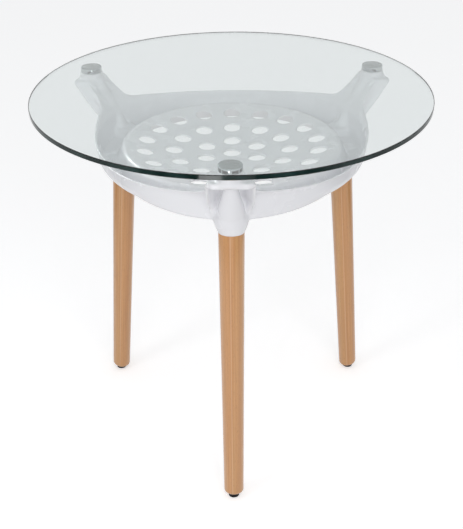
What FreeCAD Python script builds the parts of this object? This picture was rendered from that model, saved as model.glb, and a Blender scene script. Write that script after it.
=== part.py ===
import FreeCAD, Part
import math
import os
from FreeCAD import Vector

# Round bistro table: a clear glass top stands on three chrome pads. The pads are screwed to the arms
# of one white moulded tray, and three turned beech legs are screwed into the sockets of that tray.
# Millimetres. +Z is up, the origin is on the floor under the middle of the table.

# Driving dimensions: whole table
table_height = 760.0
arm_azimuths = {"front": 270.0, "right": 30.0, "left": 150.0}
free_gap = 0.2
thread_gap = 0.05

# Glass top
glass_radius = 400.0
glass_thickness = 10.0
glass_arris = 1.2

# Chrome pads with their bond film and screws
pad_inset = 55.0
pad_radius = 22.0
pad_height = 11.0
pad_edge = 1.2
bond_inset = 3.0
bond_thickness = 0.5
screw_radius = 3.0
screw_reach = 7.0
screw_head_radius = 5.5
screw_head_height = 3.6
screw_head_edge = 0.6
screw_drive_radius = 2.0
screw_drive_depth = 2.0
washer_radius = 7.0
washer_thickness = 1.2

# Tray: bowl with three shallow arc sides, moat and raised perforated dish
wall = 4.0
tray_depth = 115.0
bowl_inset = 126.5
side_offset = 26.5
rim_rise = 45.0
rim_arc_radius = 1170.0
bend_rise = 51.5
base_inset = 7.0
base_round = 17.0
bend_round = 24.0
moat_width = 50.0
dish_edge_rise = 38.5
dish_sag = 27.0
dish_brow = 9.0
flank_angle = 66.0
hole_radius = 16.5
hole_pitch = 59.0
hole_margin = 8.0

# Tray arms
arm_neck_half_width = 31.0
arm_foot_half_width = 41.0
arm_root_inset = 6.0
arm_side = 5.0
arm_root_depth = 36.0
arm_head_depth = 30.0
arm_flare = 28.0
plate_overhang = 20.0
plate_overlap = 20.0
plate_root_half_width = 28.0
plate_tip_half_width = 49.0
plate_corner = 14.0
plate_thickness = 5.0
lip_height = 11.0
boss_margin = 1.5
boss_height = 11.5

# Leg sockets of the tray
collar_drop = 25.0
collar_inset = 15.5
collar_edge = 1.2
socket_swell = 7.25
socket_flare_length = 26.0
socket_cap = 9.8
socket_cap_round = 10.0
cap_share = 0.7
socket_blend = 20.0
keel_inset = 1.5
keel_tip_radius = 15.0
keel_tip_inset = 9.0
keel_tip_drop = 18.0

# Beech legs
leg_spread = 47.5
leg_top_radius = 24.75
leg_foot_radius = 20.0
leg_foot_round = 8.0
tenon_shoulder = 6.75
tenon_length = 20.0

# Hanger bolts and their threaded inserts
bolt_radius = 4.0
bolt_wood_length = 32.0
insert_radius = 6.5
insert_length = 12.0

# Glides under the legs
glide_radius = 11.0
glide_height = 6.5
glide_edge = 1.5
nail_radius = 1.5
nail_length = 20.0
nail_head_radius = 4.0
nail_head_height = 1.0
nail_head_cover = 2.0

# Levels worked out from the driving dimensions
glass_bottom = table_height - glass_thickness
pad_top = glass_bottom - bond_thickness
pad_bottom = pad_top - pad_height
plate_top = pad_bottom - boss_height
lip_bottom = plate_top - lip_height
plate_bottom = plate_top - plate_thickness
tray_bottom = plate_top - tray_depth
rim_height = tray_bottom + rim_rise
bend_height = tray_bottom + bend_rise
collar_bottom = tray_bottom - collar_drop

# Distances from the table axis along one arm
pad_place_radius = glass_radius - pad_inset
arm_root_radius = pad_place_radius - arm_root_inset
plate_reach = pad_place_radius + plate_overhang
outer_limit = plate_reach + wall

# Plan of the bowl: each side is an arc about a centre beyond the table axis, and the arms stand on the
# corners between two sides
half_third = math.radians(60)
side_azimuths = [azimuth + 60.0 for azimuth in arm_azimuths.values()]
side_reach = glass_radius - bowl_inset
side_arc_radius = side_reach + side_offset
dish_radius = side_reach - moat_width
offset_along = side_offset * math.cos(half_third)
offset_across = side_offset * math.sin(half_third)
corner_reach = math.sqrt(side_arc_radius ** 2 - offset_across ** 2) - offset_along
arm_root_arc = math.hypot(arm_root_radius + offset_along, offset_across)

# Leg axis, in the upright plane of its arm
collar_place_radius = corner_reach - collar_inset
foot_place_radius = collar_place_radius + leg_spread
leg_splay = math.degrees(math.atan2(leg_spread, collar_bottom))
leg_length = math.hypot(leg_spread, collar_bottom)

# Fits and radii that follow from other pieces
boss_radius = pad_radius + boss_margin
bond_radius = pad_radius - bond_inset
tenon_radius = leg_top_radius - tenon_shoulder
socket_radius = leg_top_radius + socket_swell
keel_radius = socket_radius - keel_inset
socket_depth = tenon_length + free_gap
glide_place_radius = foot_place_radius - glide_height * leg_spread / collar_bottom
nail_low = glide_height - nail_head_cover - nail_head_height
nail_top = glide_height + nail_length


def flat(x, z):
    """Point in the upright plane through the table axis."""
    return Vector(x, 0, z)


def turn(shape, azimuth):
    """Copy of a shape drawn for the +X direction, turned about the table axis."""
    copy = shape.copy()
    copy.rotate(Vector(0, 0, 0), Vector(0, 0, 1), azimuth)
    return copy


def rod(radius, low, high, x=0.0):
    """Upright cylinder between two levels."""
    return Part.makeCylinder(radius, high - low, flat(x, low))


def bevelled_rod(radius, low, high, edge, x=0.0):
    """Upright cylinder with both rims chamfered."""
    body = rod(radius, low, high, x)
    return body.makeChamfer(edge, [rim for rim in body.Edges if rim.Closed])


def outline_edges(points, radii):
    """Edges of an open outline whose inner corners are rounded by tangent arcs."""
    edges = []
    last = points[0]
    for index, radius in enumerate(radii):
        corner = points[index + 1]
        back = (points[index] - corner).normalize()
        ahead = (points[index + 2] - corner).normalize()
        half = back.getAngle(ahead) / 2
        middle = (back + ahead).normalize()
        start = corner + back * (radius / math.tan(half))
        end = corner + ahead * (radius / math.tan(half))
        crown = corner + middle * (radius / math.sin(half) - radius)
        edges.append(Part.LineSegment(last, start).toShape())
        edges.append(Part.Arc(start, crown, end).toShape())
        last = end
    edges.append(Part.LineSegment(last, points[-1]).toShape())
    return edges


def closed_face(edges, points):
    """Face bounded by an open run of edges and the straight lines through further points."""
    stops = [edges[-1].Vertexes[-1].Point] + points + [edges[0].Vertexes[0].Point]
    for start, end in zip(stops[:-1], stops[1:]):
        edges = edges + [Part.LineSegment(start, end).toShape()]
    return Part.Face(Part.Wire(Part.__sortEdges__(edges)))


def shifted(points, distance):
    """Open outline in the upright plane, moved to the left of its travel by one distance."""
    lines = []
    for start, end in zip(points[:-1], points[1:]):
        along = (end - start).normalize()
        side = Vector(-along.z, 0, along.x) * distance
        lines.append((start + side, along))
    result = [lines[0][0]]
    for (point, along), (other, onward) in zip(lines[:-1], lines[1:]):
        cross = along.x * onward.z - along.z * onward.x
        gap = other - point
        reach = (gap.x * onward.z - gap.z * onward.x) / cross
        result.append(point + along * reach)
    last_start, last_along = lines[-1]
    result.append(last_start + last_along * (points[-1] - points[-2]).Length)
    return result


def bowl_filling(inset):
    """Solid inside the wall surface of the bowl, common to its three arc sides."""
    lean = (plate_top - bend_height) / (arm_root_arc - side_arc_radius)
    over = boss_height
    path = [
        flat(0, tray_bottom),
        flat(side_arc_radius - base_inset, tray_bottom),
        flat(side_arc_radius, bend_height),
        flat(arm_root_arc + over / lean, plate_top + over),
    ]
    path = shifted(path, inset)
    edges = outline_edges(path, [base_round - inset, bend_round + inset])
    face = closed_face(edges, [flat(0, path[-1].z)])
    side = face.revolve(Vector(0, 0, 0), Vector(0, 0, 1), 360)
    side.translate(Vector(-side_offset, 0, 0))
    sides = [turn(side, azimuth) for azimuth in side_azimuths]
    return sides[0].common(sides[1]).common(sides[2])


def under_rim(azimuth):
    """Third of the bowl's room, below the sagging rim of one side."""
    reach = 2 * outer_limit
    half = reach * math.sin(half_third)
    sag = rim_arc_radius - math.sqrt(rim_arc_radius ** 2 - half ** 2)
    low = collar_bottom
    arc = Part.Arc(Vector(0, -half, rim_height + sag), Vector(0, 0, rim_height), Vector(0, half, rim_height + sag))
    face = closed_face([arc.toShape()], [Vector(0, half, low), Vector(0, -half, low)])
    below = face.extrude(Vector(reach, 0, 0))
    wedge_points = [Vector(0, 0, low), Vector(reach / 2, half, low), Vector(reach / 2, -half, low)]
    wedge = Part.Face(Part.makePolygon(wedge_points + wedge_points[:1]))
    room = wedge.extrude(Vector(0, 0, plate_top - low))
    return turn(below.common(room), azimuth)


def under_flare():
    """Room below the hollow curves that sweep from the rim up the sides of one arm."""
    foot_side = arm_neck_half_width + arm_flare
    foot_plan = math.asin(foot_side / side_arc_radius)
    foot_rim = side_arc_radius * math.sin(half_third - foot_plan)
    foot_level = rim_height + foot_rim ** 2 / (2 * rim_arc_radius)
    bulge = arm_flare * (1 - math.sqrt(0.5))
    tip = Vector(0, arm_neck_half_width, foot_level + arm_flare)
    waist = Vector(0, arm_neck_half_width + bulge, foot_level + bulge)
    foot = Vector(0, foot_side, foot_level)
    curve = Part.Arc(tip, waist, foot).toShape()
    middle = [
        Vector(0, foot_side, collar_bottom),
        Vector(0, 0, collar_bottom),
        Vector(0, 0, plate_top),
        Vector(0, arm_neck_half_width, plate_top),
    ]
    half = closed_face([curve], middle)
    room = half.extrude(Vector(outer_limit, 0, 0))
    room.translate(Vector(dish_radius, 0, 0))
    return room.fuse(room.mirror(Vector(0, 0, 0), Vector(0, 1, 0)))


def dish_solid():
    """Raised dish of the tray with its brow and flank, turned about the table axis."""
    sphere = (dish_radius ** 2 + dish_sag ** 2) / (2 * dish_sag)
    edge_level = tray_bottom + dish_edge_rise
    sphere_level = edge_level - dish_sag + sphere
    edge_angle = math.asin(dish_radius / sphere)
    brow_x = dish_radius + dish_brow * math.sin(edge_angle)
    brow_z = edge_level - dish_brow * math.cos(edge_angle)
    brow_centre = flat(brow_x, brow_z)
    fall = math.radians(flank_angle)

    def brow_point(angle, depth):
        return brow_centre + flat(math.sin(angle), math.cos(angle)) * (dish_brow - depth)

    def surface(depth, foot_level):
        radius = sphere + depth
        arc_points = []
        for share in (0, 0.5, 1):
            angle = edge_angle * share
            arc_points.append(flat(radius * math.sin(angle), sphere_level - radius * math.cos(angle)))
        brow = [brow_point(-edge_angle, depth), brow_point((fall - edge_angle) / 2, depth), brow_point(fall, depth)]
        drop = brow[2].z - foot_level
        foot = brow[2] + flat(drop / math.tan(fall), -drop)
        return [
            Part.Arc(*arc_points).toShape(),
            Part.Arc(*brow).toShape(),
            Part.LineSegment(brow[2], foot).toShape(),
        ], foot

    top, top_foot = surface(0.0, tray_bottom)
    under, under_foot = surface(wall, tray_bottom)
    start = flat(0, edge_level - dish_sag)
    end = flat(0, edge_level - dish_sag - wall)
    joins = [Part.LineSegment(start, end).toShape(), Part.LineSegment(top_foot, under_foot).toShape()]
    face = Part.Face(Part.Wire(Part.__sortEdges__(top + under + joins)))
    return face.revolve(Vector(0, 0, 0), Vector(0, 0, 1), 360), under_foot.x


def dish_holes():
    """Round perforations: one in the middle and rings of six, twelve and eighteen about it."""
    rings = int((dish_radius - hole_radius - hole_margin) / hole_pitch)
    low = tray_bottom - wall
    high = tray_bottom + dish_edge_rise + wall
    holes = [rod(hole_radius, low, high)]
    for ring in range(1, rings + 1):
        count = 6 * ring
        for index in range(count):
            hole = rod(hole_radius, low, high, ring * hole_pitch)
            holes.append(turn(hole, 90 + index * 360 / count))
    return holes


def arm_plate():
    """Pad plate at the end of one arm: wider towards its tip, with a lip and the boss under the pad."""
    root = arm_root_radius - plate_overlap

    def tongue(inset, low, high):
        tip = plate_reach - inset
        points = [
            Vector(root, inset - plate_root_half_width, low),
            Vector(tip, inset - plate_tip_half_width, low),
            Vector(tip, plate_tip_half_width - inset, low),
            Vector(root, plate_root_half_width - inset, low),
        ]
        corner = plate_corner - inset
        return closed_face(outline_edges(points, [corner, corner]), []).extrude(Vector(0, 0, high - low))

    plate = tongue(0, lip_bottom, plate_top)
    hollow = tongue(plate_thickness, lip_bottom, plate_bottom)
    boss = rod(boss_radius, plate_bottom, pad_bottom, pad_place_radius)
    return plate.cut(hollow).fuse(boss)


def wall_reach(arc_radius, side):
    """Distance along an arm to the bowl's wall, at a sideways distance from the middle of the arm."""
    return math.sqrt(arc_radius ** 2 - (side + offset_across) ** 2) - offset_along


def arm_ribs():
    """Two ribs under one arm, from the bowl's wall up to the plate; their upper edges lie in the wall."""
    head_level = plate_top - plate_thickness / 2
    head_arc = side_arc_radius + (arm_root_arc - side_arc_radius) * (head_level - bend_height) / (plate_top - bend_height)
    foot_level = bend_height - arm_root_depth
    foot_arc = side_arc_radius - base_inset * arm_root_depth / bend_rise
    tip = plate_reach - plate_corner
    tip_drop = head_level - lip_bottom
    tip_half_width = arm_neck_half_width + (arm_foot_half_width - arm_neck_half_width) * tip_drop / arm_head_depth

    def section(top, foot, foot_half_width):
        across = Vector(0, arm_side, 0)
        upper = top + Vector(0, arm_neck_half_width, 0)
        lower = foot + Vector(0, foot_half_width, 0)
        return Part.makePolygon([upper, lower, lower - across, upper - across, upper])

    rib = Part.makeLoft(
        [
            section(
                flat(wall_reach(side_arc_radius, arm_neck_half_width) - wall / 4, bend_height),
                flat(wall_reach(foot_arc, arm_foot_half_width) - wall / 4, foot_level),
                arm_foot_half_width,
            ),
            section(
                flat(wall_reach(head_arc, arm_neck_half_width) - wall / 2, head_level),
                flat(arm_root_radius, head_level - arm_head_depth),
                arm_foot_half_width,
            ),
            section(flat(tip, head_level), flat(tip, lip_bottom), tip_half_width),
        ],
        True,
        True,
    )
    return [rib, rib.mirror(Vector(0, 0, 0), Vector(0, 1, 0))]


def along_leg(shape):
    """Put a shape drawn about the Z axis, with the collar plane at zero, on the leg axis."""
    shape.rotate(Vector(0, 0, 0), Vector(0, 1, 0), -leg_splay)
    shape.translate(flat(collar_place_radius, collar_bottom))
    return shape


def turned_solid(points, radii):
    """Solid of revolution about the Z axis from an outline that starts and ends on that axis."""
    return closed_face(outline_edges(points, radii), []).revolve(Vector(0, 0, 0), Vector(0, 0, 1), 360)


def socket_solid():
    """Outer form of one leg socket: a collar flush with the leg that widens to a rounded column."""
    top = socket_depth + insert_length + socket_cap
    cap_round = min(socket_cap_round, (top - socket_flare_length) * cap_share)
    points = [
        flat(0, 0),
        flat(leg_top_radius, 0),
        flat(socket_radius, socket_flare_length),
        flat(socket_radius, top),
        flat(0, top),
    ]
    return along_leg(turned_solid(points, [collar_edge, socket_blend, cap_round]))


def socket_keel():
    """Tapering ridge that runs from the socket up the middle of one arm to below its plate."""
    share = socket_flare_length / leg_length
    start = flat(collar_place_radius - leg_spread * share, collar_bottom * (1 + share))
    end = flat(arm_root_radius - keel_tip_inset, plate_bottom - keel_tip_drop)
    run = end - start
    return Part.makeCone(keel_radius, keel_tip_radius, run.Length, start, run)


def socket_bores():
    """Rooms inside one socket: the tenon's bore and the insert's seat above it."""
    return [
        along_leg(rod(tenon_radius + free_gap, 0, socket_depth)),
        along_leg(rod(insert_radius + thread_gap, socket_depth, socket_depth + insert_length)),
    ]


def tray_frame():
    """White moulding: bowl, moat, perforated dish, three arms and three leg sockets in one piece."""
    dish, dish_foot = dish_solid()
    inside = bowl_filling(wall)
    core = bowl_filling(wall / 2)
    shell = bowl_filling(0.0).cut(inside)
    shell = shell.cut(rod(dish_foot, tray_bottom, tray_bottom + wall))
    flares = [turn(under_flare(), azimuth) for azimuth in arm_azimuths.values()]
    thirds = [under_rim(azimuth) for azimuth in side_azimuths]
    body = shell.common(thirds[0].multiFuse(thirds[1:] + flares)).fuse(dish)
    bores = []
    for azimuth in arm_azimuths.values():
        body = body.fuse(turn(arm_plate(), azimuth).cut(inside))
        keel = turn(socket_keel(), azimuth).cut(core)
        body = body.fuse(keel)
        for part in [socket_solid()] + arm_ribs():
            body = body.fuse(turn(part, azimuth))
        way = rod(screw_radius + free_gap, lip_bottom, pad_bottom, pad_place_radius)
        bores += [turn(room, azimuth) for room in socket_bores() + [way]]
    return body.removeSplitter().cut(dish_holes()).cut(bores).removeSplitter()


def glass_top():
    """Tempered glass disc with a ground arris on both rims."""
    return bevelled_rod(glass_radius, glass_bottom, table_height, glass_arris)


def support_pad():
    """Turned chrome pad with a blind threaded hole in its lower face."""
    pad = bevelled_rod(pad_radius, pad_bottom, pad_top, pad_edge, pad_place_radius)
    return pad.cut(rod(screw_radius + thread_gap, pad_bottom, pad_bottom + screw_reach, pad_place_radius))


def bond_film():
    """Clear adhesive film between pad and glass."""
    return rod(bond_radius, pad_top, glass_bottom, pad_place_radius)


def pad_washer():
    """Flat washer under the plate of one arm."""
    ring = rod(washer_radius, plate_bottom - washer_thickness, plate_bottom, pad_place_radius)
    return ring.cut(rod(screw_radius + free_gap, plate_bottom - washer_thickness, plate_bottom, pad_place_radius))


def pad_screw():
    """Socket screw from the hollow under the arm plate up into the pad."""
    seat = plate_bottom - washer_thickness
    base = seat - screw_head_height
    head = bevelled_rod(screw_head_radius, base, seat, screw_head_edge, pad_place_radius)
    shank = rod(screw_radius, seat, pad_bottom + screw_reach - free_gap, pad_place_radius)
    drive = Part.makePolygon(
        [
            Vector(
                pad_place_radius + screw_drive_radius * math.cos(math.radians(60 * side)),
                screw_drive_radius * math.sin(math.radians(60 * side)),
                base,
            )
            for side in range(7)
        ]
    )
    return head.fuse(shank).removeSplitter().cut(Part.Face(drive).extrude(Vector(0, 0, screw_drive_depth)))


def beech_leg():
    """Tapered turned leg with a tenon at its top and a level, rounded foot."""
    points = [
        flat(0, -leg_length),
        flat(leg_foot_radius, -leg_length),
        flat(leg_top_radius, 0),
        flat(tenon_radius, 0),
        flat(tenon_radius, tenon_length),
        flat(0, tenon_length),
    ]
    face = Part.Face(Part.makePolygon(points + points[:1]))
    leg = along_leg(face.revolve(Vector(0, 0, 0), Vector(0, 0, 1), 360))
    reach = 2 * foot_place_radius
    floor_block = Part.makeBox(reach, reach, leg_length, Vector(0, -reach / 2, glide_height - leg_length))
    leg = leg.cut(floor_block)
    foot_edges = [edge for edge in leg.Edges if abs(edge.BoundBox.ZMax - glide_height) < free_gap]
    leg = leg.makeFillet(leg_foot_round, foot_edges)
    bolt_way = along_leg(rod(bolt_radius + thread_gap, tenon_length - bolt_wood_length - free_gap, tenon_length))
    nail_way = rod(nail_radius + thread_gap, glide_height, nail_top + free_gap, glide_place_radius)
    return leg.cut(bolt_way).cut(nail_way)


def hanger_bolt():
    """Double-ended bolt: its lower end in the tenon, its upper end in the insert."""
    return along_leg(rod(bolt_radius, tenon_length - bolt_wood_length, socket_depth + insert_length - free_gap))


def socket_insert():
    """Threaded brass insert moulded into the head of one socket."""
    sleeve = rod(insert_radius, socket_depth, socket_depth + insert_length)
    return along_leg(sleeve.cut(rod(bolt_radius + thread_gap, socket_depth, socket_depth + insert_length)))


def glide():
    """Black glide under one leg, with a seat for the head of its nail."""
    body = bevelled_rod(glide_radius, 0, glide_height, glide_edge, glide_place_radius)
    seat = rod(nail_head_radius + thread_gap, nail_low, nail_low + nail_head_height, glide_place_radius)
    way = rod(nail_radius + thread_gap, nail_low, glide_height, glide_place_radius)
    return body.cut(seat).cut(way)


def glide_nail():
    """Steel nail moulded into the glide and driven up into the leg."""
    head = rod(nail_head_radius, nail_low, nail_low + nail_head_height, glide_place_radius)
    return head.fuse(rod(nail_radius, nail_low, nail_top, glide_place_radius)).removeSplitter()


os.makedirs("parts", exist_ok=True)
glass_top().exportStep("parts/glass_top.step")
tray_frame().exportStep("parts/tray_frame.step")
arm_pieces = {
    "bond_film": bond_film(),
    "support_pad": support_pad(),
    "pad_washer": pad_washer(),
    "pad_screw": pad_screw(),
    "leg": beech_leg(),
    "hanger_bolt": hanger_bolt(),
    "socket_insert": socket_insert(),
    "glide": glide(),
    "glide_nail": glide_nail(),
}
for place, azimuth in arm_azimuths.items():
    for name, shape in arm_pieces.items():
        turn(shape, azimuth).exportStep(f"parts/{name}_{place}.step")
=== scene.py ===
# %% [markdown]
# # Round bistro table
# A clear glass top stands on three chrome pads, the pads sit on the arms of one white moulded tray, and
# three turned beech legs are screwed into the sockets of that tray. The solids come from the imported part
# and stay where they are. This lesson gives each of them its smooth surface and its finish, one piece at
# a time.

# %% Load the frame
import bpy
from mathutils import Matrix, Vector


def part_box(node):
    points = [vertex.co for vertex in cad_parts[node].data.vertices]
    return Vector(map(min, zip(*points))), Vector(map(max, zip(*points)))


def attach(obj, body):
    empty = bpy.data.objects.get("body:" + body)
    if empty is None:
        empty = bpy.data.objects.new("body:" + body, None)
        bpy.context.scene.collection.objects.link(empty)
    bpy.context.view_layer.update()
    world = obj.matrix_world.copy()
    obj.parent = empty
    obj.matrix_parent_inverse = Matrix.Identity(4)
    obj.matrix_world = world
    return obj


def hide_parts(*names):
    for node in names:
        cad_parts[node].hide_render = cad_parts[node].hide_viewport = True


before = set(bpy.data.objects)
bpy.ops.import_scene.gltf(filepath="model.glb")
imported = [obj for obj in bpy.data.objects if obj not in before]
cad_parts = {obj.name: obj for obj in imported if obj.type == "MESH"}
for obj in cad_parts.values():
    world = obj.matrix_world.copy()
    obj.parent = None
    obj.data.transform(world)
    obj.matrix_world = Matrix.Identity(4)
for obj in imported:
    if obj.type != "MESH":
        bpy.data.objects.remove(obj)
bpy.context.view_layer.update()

# %% [markdown]
# ## Measures
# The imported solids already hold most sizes, so they are read from the boxes of the nodes and not typed
# again. One arm looks like the next, so a measure is taken at the front arm and used for all three.

# %% Measure the frame
import math

import bmesh
import bpy
import numpy as np
from mathutils import Matrix, Vector

ARMS = ("front", "right", "left")
glass_low, glass_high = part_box("glass_top")
table_height = glass_high[2]
glass_bottom = glass_low[2]
glass_radius = (glass_high[0] - glass_low[0]) / 2
pad_low, pad_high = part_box("support_pad_front")
pad_radius = (pad_high[0] - pad_low[0]) / 2
pad_place = -(pad_high[1] + pad_low[1]) / 2
pad_bottom = pad_low[2]
pad_top = pad_high[2]
glide_low, glide_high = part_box("glide_front")
glide_radius = (glide_high[0] - glide_low[0]) / 2
glide_place = -(glide_high[1] + glide_low[1]) / 2
glide_height = glide_high[2]
arm_turn = {}
for arm in ARMS:
    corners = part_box("support_pad_" + arm)
    arm_turn[arm] = math.atan2(corners[0][1] + corners[1][1], corners[0][0] + corners[1][0])
print("glass radius", round(glass_radius, 4), "height", round(table_height, 4))
print("pads at", round(pad_place, 4), "glides at", round(glide_place, 4))

# %% [markdown]
# ## Helpers for nodes
# Materials and geometry trees are both built from nodes. One helper adds a node, sets its options, and
# sets or links its inputs, so each finish below reads as a short list of what feeds what.

# %% Add and link nodes
def node(tree, kind, inputs=None, **settings):
    """Add a node to a tree, set its options, then set or link its inputs."""
    made = tree.nodes.new(kind)
    for key, value in settings.items():
        setattr(made, key, value)
    for key, value in (inputs or {}).items():
        socket = made.inputs[key]
        if isinstance(value, bpy.types.NodeSocket):
            tree.links.new(value, socket)
        else:
            socket.default_value = value
    return made


def calculate(tree, operation, first, second=0.0):
    """Output of one arithmetic node."""
    return node(tree, "ShaderNodeMath", {0: first, 1: second}, operation=operation).outputs[0]


def mixed_colour(tree, share, first, second):
    """Output of a node that blends two colours."""
    made = node(tree, "ShaderNodeMix", data_type="RGBA")
    for index, value in ((0, share), (6, first), (7, second)):
        if isinstance(value, bpy.types.NodeSocket):
            tree.links.new(value, made.inputs[index])
        else:
            made.inputs[index].default_value = value
    return made.outputs[2]


def ranged(tree, value, low, high, to_low, to_high):
    """Output of a node that maps one range of values to another and stays inside it."""
    inputs = {"Value": value, "From Min": low, "From Max": high, "To Min": to_low, "To Max": to_high}
    return node(tree, "ShaderNodeMapRange", inputs).outputs[0]


print("node helpers ready")

# %% Groups and materials
def new_group(name, inputs, outputs):
    """Shader node group with named sockets, and its input and output nodes."""
    group = bpy.data.node_groups.new(name, "ShaderNodeTree")
    for label, kind, default in inputs:
        socket = group.interface.new_socket(name=label, in_out="INPUT", socket_type=kind)
        if default is not None:
            socket.default_value = default
    for label in outputs:
        group.interface.new_socket(name=label, in_out="OUTPUT", socket_type="NodeSocketFloat")
    return group, group.nodes.new("NodeGroupInput"), group.nodes.new("NodeGroupOutput")


def new_material(name):
    """Material with an empty node tree, and its output node."""
    material = bpy.data.materials.new(name)
    material.use_nodes = True
    material.node_tree.nodes.clear()
    return material, material.node_tree, material.node_tree.nodes.new("ShaderNodeOutputMaterial")


print("group and material helpers ready")

# %% [markdown]
# ## Shared surface effects
# Handling leaves faint cloudy marks on every smooth finish, and moulded or lacquered surfaces are never
# quite flat. Both effects are used by several materials, so each is one shader group that hands back
# plain values: one mask for marks and one height for unevenness.

# %% Group: handling marks
marks_inputs = [("Vector", "NodeSocketVector", None), ("Scale", "NodeSocketFloat", 20.0)]
marks, marks_in, marks_out = new_group("handling_marks", marks_inputs, ["Mask"])
cloud = node(marks, "ShaderNodeTexNoise", {
    "Vector": marks_in.outputs["Vector"], "Scale": marks_in.outputs["Scale"],
    "Detail": 4.0, "Roughness": 0.6,
})
marks.links.new(ranged(marks, cloud.outputs[0], 0.3, 0.75, 0.0, 1.0), marks_out.inputs["Mask"])
print("group", marks.name)

# %% Group: uneven skin
skin_inputs = [("Vector", "NodeSocketVector", None), ("Broad", "NodeSocketFloat", 9.0),
               ("Fine", "NodeSocketFloat", 420.0), ("Fine Share", "NodeSocketFloat", 0.1)]
skin, skin_in, skin_out = new_group("uneven_skin", skin_inputs, ["Height"])
broad = node(skin, "ShaderNodeTexNoise", {
    "Vector": skin_in.outputs["Vector"], "Scale": skin_in.outputs["Broad"], "Detail": 1.0,
})
fine = node(skin, "ShaderNodeTexNoise", {
    "Vector": skin_in.outputs["Vector"], "Scale": skin_in.outputs["Fine"], "Detail": 2.0,
})
fine_part = calculate(skin, "MULTIPLY", fine.outputs[0], skin_in.outputs["Fine Share"])
skin.links.new(calculate(skin, "ADD", broad.outputs[0], fine_part), skin_out.inputs["Height"])
print("group", skin.name)

# %% Use a group and bump a surface
def use_group(tree, group, **inputs):
    """Node that calls one of the shared groups, fed with object coordinates."""
    where = node(tree, "ShaderNodeTexCoord").outputs["Object"]
    made = node(tree, "ShaderNodeGroup", node_tree=group)
    tree.links.new(where, made.inputs["Vector"])
    for key, value in inputs.items():
        made.inputs[key.replace("_", " ")].default_value = value
    return made.outputs[0]


def bumped(tree, height, strength, distance):
    """Normal output of a bump node."""
    inputs = {"Height": height, "Strength": strength, "Distance": distance}
    return node(tree, "ShaderNodeBump", inputs).outputs[0]


print("surface helpers ready")

# %% [markdown]
# ## White plastic
# The tray is one injection moulding in white plastic with a satin gloss. A plain white would look like
# chalk: the real skin has a very slight waviness that bends highlights, a fine mould grain, and marks
# from handling that change the gloss a little. The colour leans a trace towards lavender, as in the
# photo.

# %% Material: white plastic
white_plastic, tree, out = new_material("white_plastic")
tint = use_group(tree, marks, Scale=5.0)
colour = mixed_colour(tree, tint, (0.86, 0.86, 0.885, 1), (0.853, 0.853, 0.879, 1))
gloss = ranged(tree, use_group(tree, marks, Scale=14.0), 0.0, 1.0, 0.25, 0.29)
wavy = bumped(tree, use_group(tree, skin, Broad=14.0, Fine=900.0, Fine_Share=0.02), 0.08, 0.002)
shader = node(tree, "ShaderNodeBsdfPrincipled", {
    "Base Color": colour, "Roughness": gloss, "Normal": wavy, "IOR": 1.49,
})
tree.links.new(shader.outputs[0], out.inputs["Surface"])
print("material", white_plastic.name)

# %% [markdown]
# ## Clear glass and its green edge
# Sheet glass is nearly colourless through its thickness and dark green through its edge, because there
# the eye looks through much more of it. The disc is therefore two finishes: clear glass for both faces,
# and a dark, polished green for the ground rim. Lamp rays go straight through the clear part, so that the
# tray below is lit. Bending those rays as well would be truer, but it takes very many samples and leaves
# specks.

# %% Material: clear glass
GLASS_TINT = (0.76, 0.80, 0.80, 1)
table_glass, tree, out = new_material("table_glass")
film = ranged(tree, use_group(tree, marks, Scale=6.0), 0.0, 1.0, 0.0, 0.012)
clear = node(tree, "ShaderNodeBsdfPrincipled", {
    "Base Color": GLASS_TINT, "Roughness": film, "IOR": 1.5, "Transmission Weight": 1.0,
})
open_way = node(tree, "ShaderNodeBsdfTransparent", {"Color": (0.93, 0.945, 0.94, 1)})
path = node(tree, "ShaderNodeLightPath")
either = node(tree, "ShaderNodeMixShader", {
    0: path.outputs["Is Shadow Ray"], 1: clear.outputs[0], 2: open_way.outputs[0],
})
tree.links.new(either.outputs[0], out.inputs["Surface"])
print("material", table_glass.name)

# %% [markdown]
# The rim is a finish of its own. Real glass would need many bounces of light inside the disc to turn this
# dark, so the colour is painted: two deep greens that change slowly along the rim, under a polish.

# %% Material: glass edge
glass_edge, tree, out = new_material("glass_edge")
place = node(tree, "ShaderNodeTexCoord").outputs["Object"]
streaks = node(tree, "ShaderNodeTexNoise", {"Vector": place, "Scale": 16.0, "Detail": 3.0})
share = ranged(tree, streaks.outputs[0], 0.45, 0.75, 0.0, 1.0)
colour = mixed_colour(tree, share, (0.004, 0.016, 0.014, 1), (0.02, 0.045, 0.042, 1))
polish = ranged(tree, use_group(tree, marks, Scale=30.0), 0.0, 1.0, 0.05, 0.12)
shader = node(tree, "ShaderNodeBsdfPrincipled", {
    "Base Color": colour, "Roughness": polish, "IOR": 1.5, "Specular IOR Level": 0.25,
})
tree.links.new(shader.outputs[0], out.inputs["Surface"])
print("material", glass_edge.name)

# %% [markdown]
# ## Chrome and small metal
# The pads are turned and chromed. The turning leaves fine rings on their flat faces, which is a bump from
# a wave texture about each pad's own axis. An anisotropic shader could stretch the highlights in the same
# way, but a bump also shows the rings close up.

# %% Material: chrome
chrome_pad, tree, out = new_material("chrome_pad")
turning = node(tree, "ShaderNodeAttribute", attribute_name="lathe").outputs["Vector"]
ring_inputs = {"Vector": turning, "Scale": 900.0, "Distortion": 0.4}
rings = node(tree, "ShaderNodeTexWave", ring_inputs, wave_type="RINGS", rings_direction="Z")
polish = ranged(tree, use_group(tree, marks, Scale=60.0), 0.0, 1.0, 0.04, 0.11)
shader = node(tree, "ShaderNodeBsdfPrincipled", {
    "Base Color": (0.375, 0.405, 0.412, 1), "Metallic": 1.0, "Roughness": polish,
    "Normal": bumped(tree, rings.outputs[0], 0.05, 0.0002),
})
tree.links.new(shader.outputs[0], out.inputs["Surface"])
print("material", chrome_pad.name)

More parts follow.
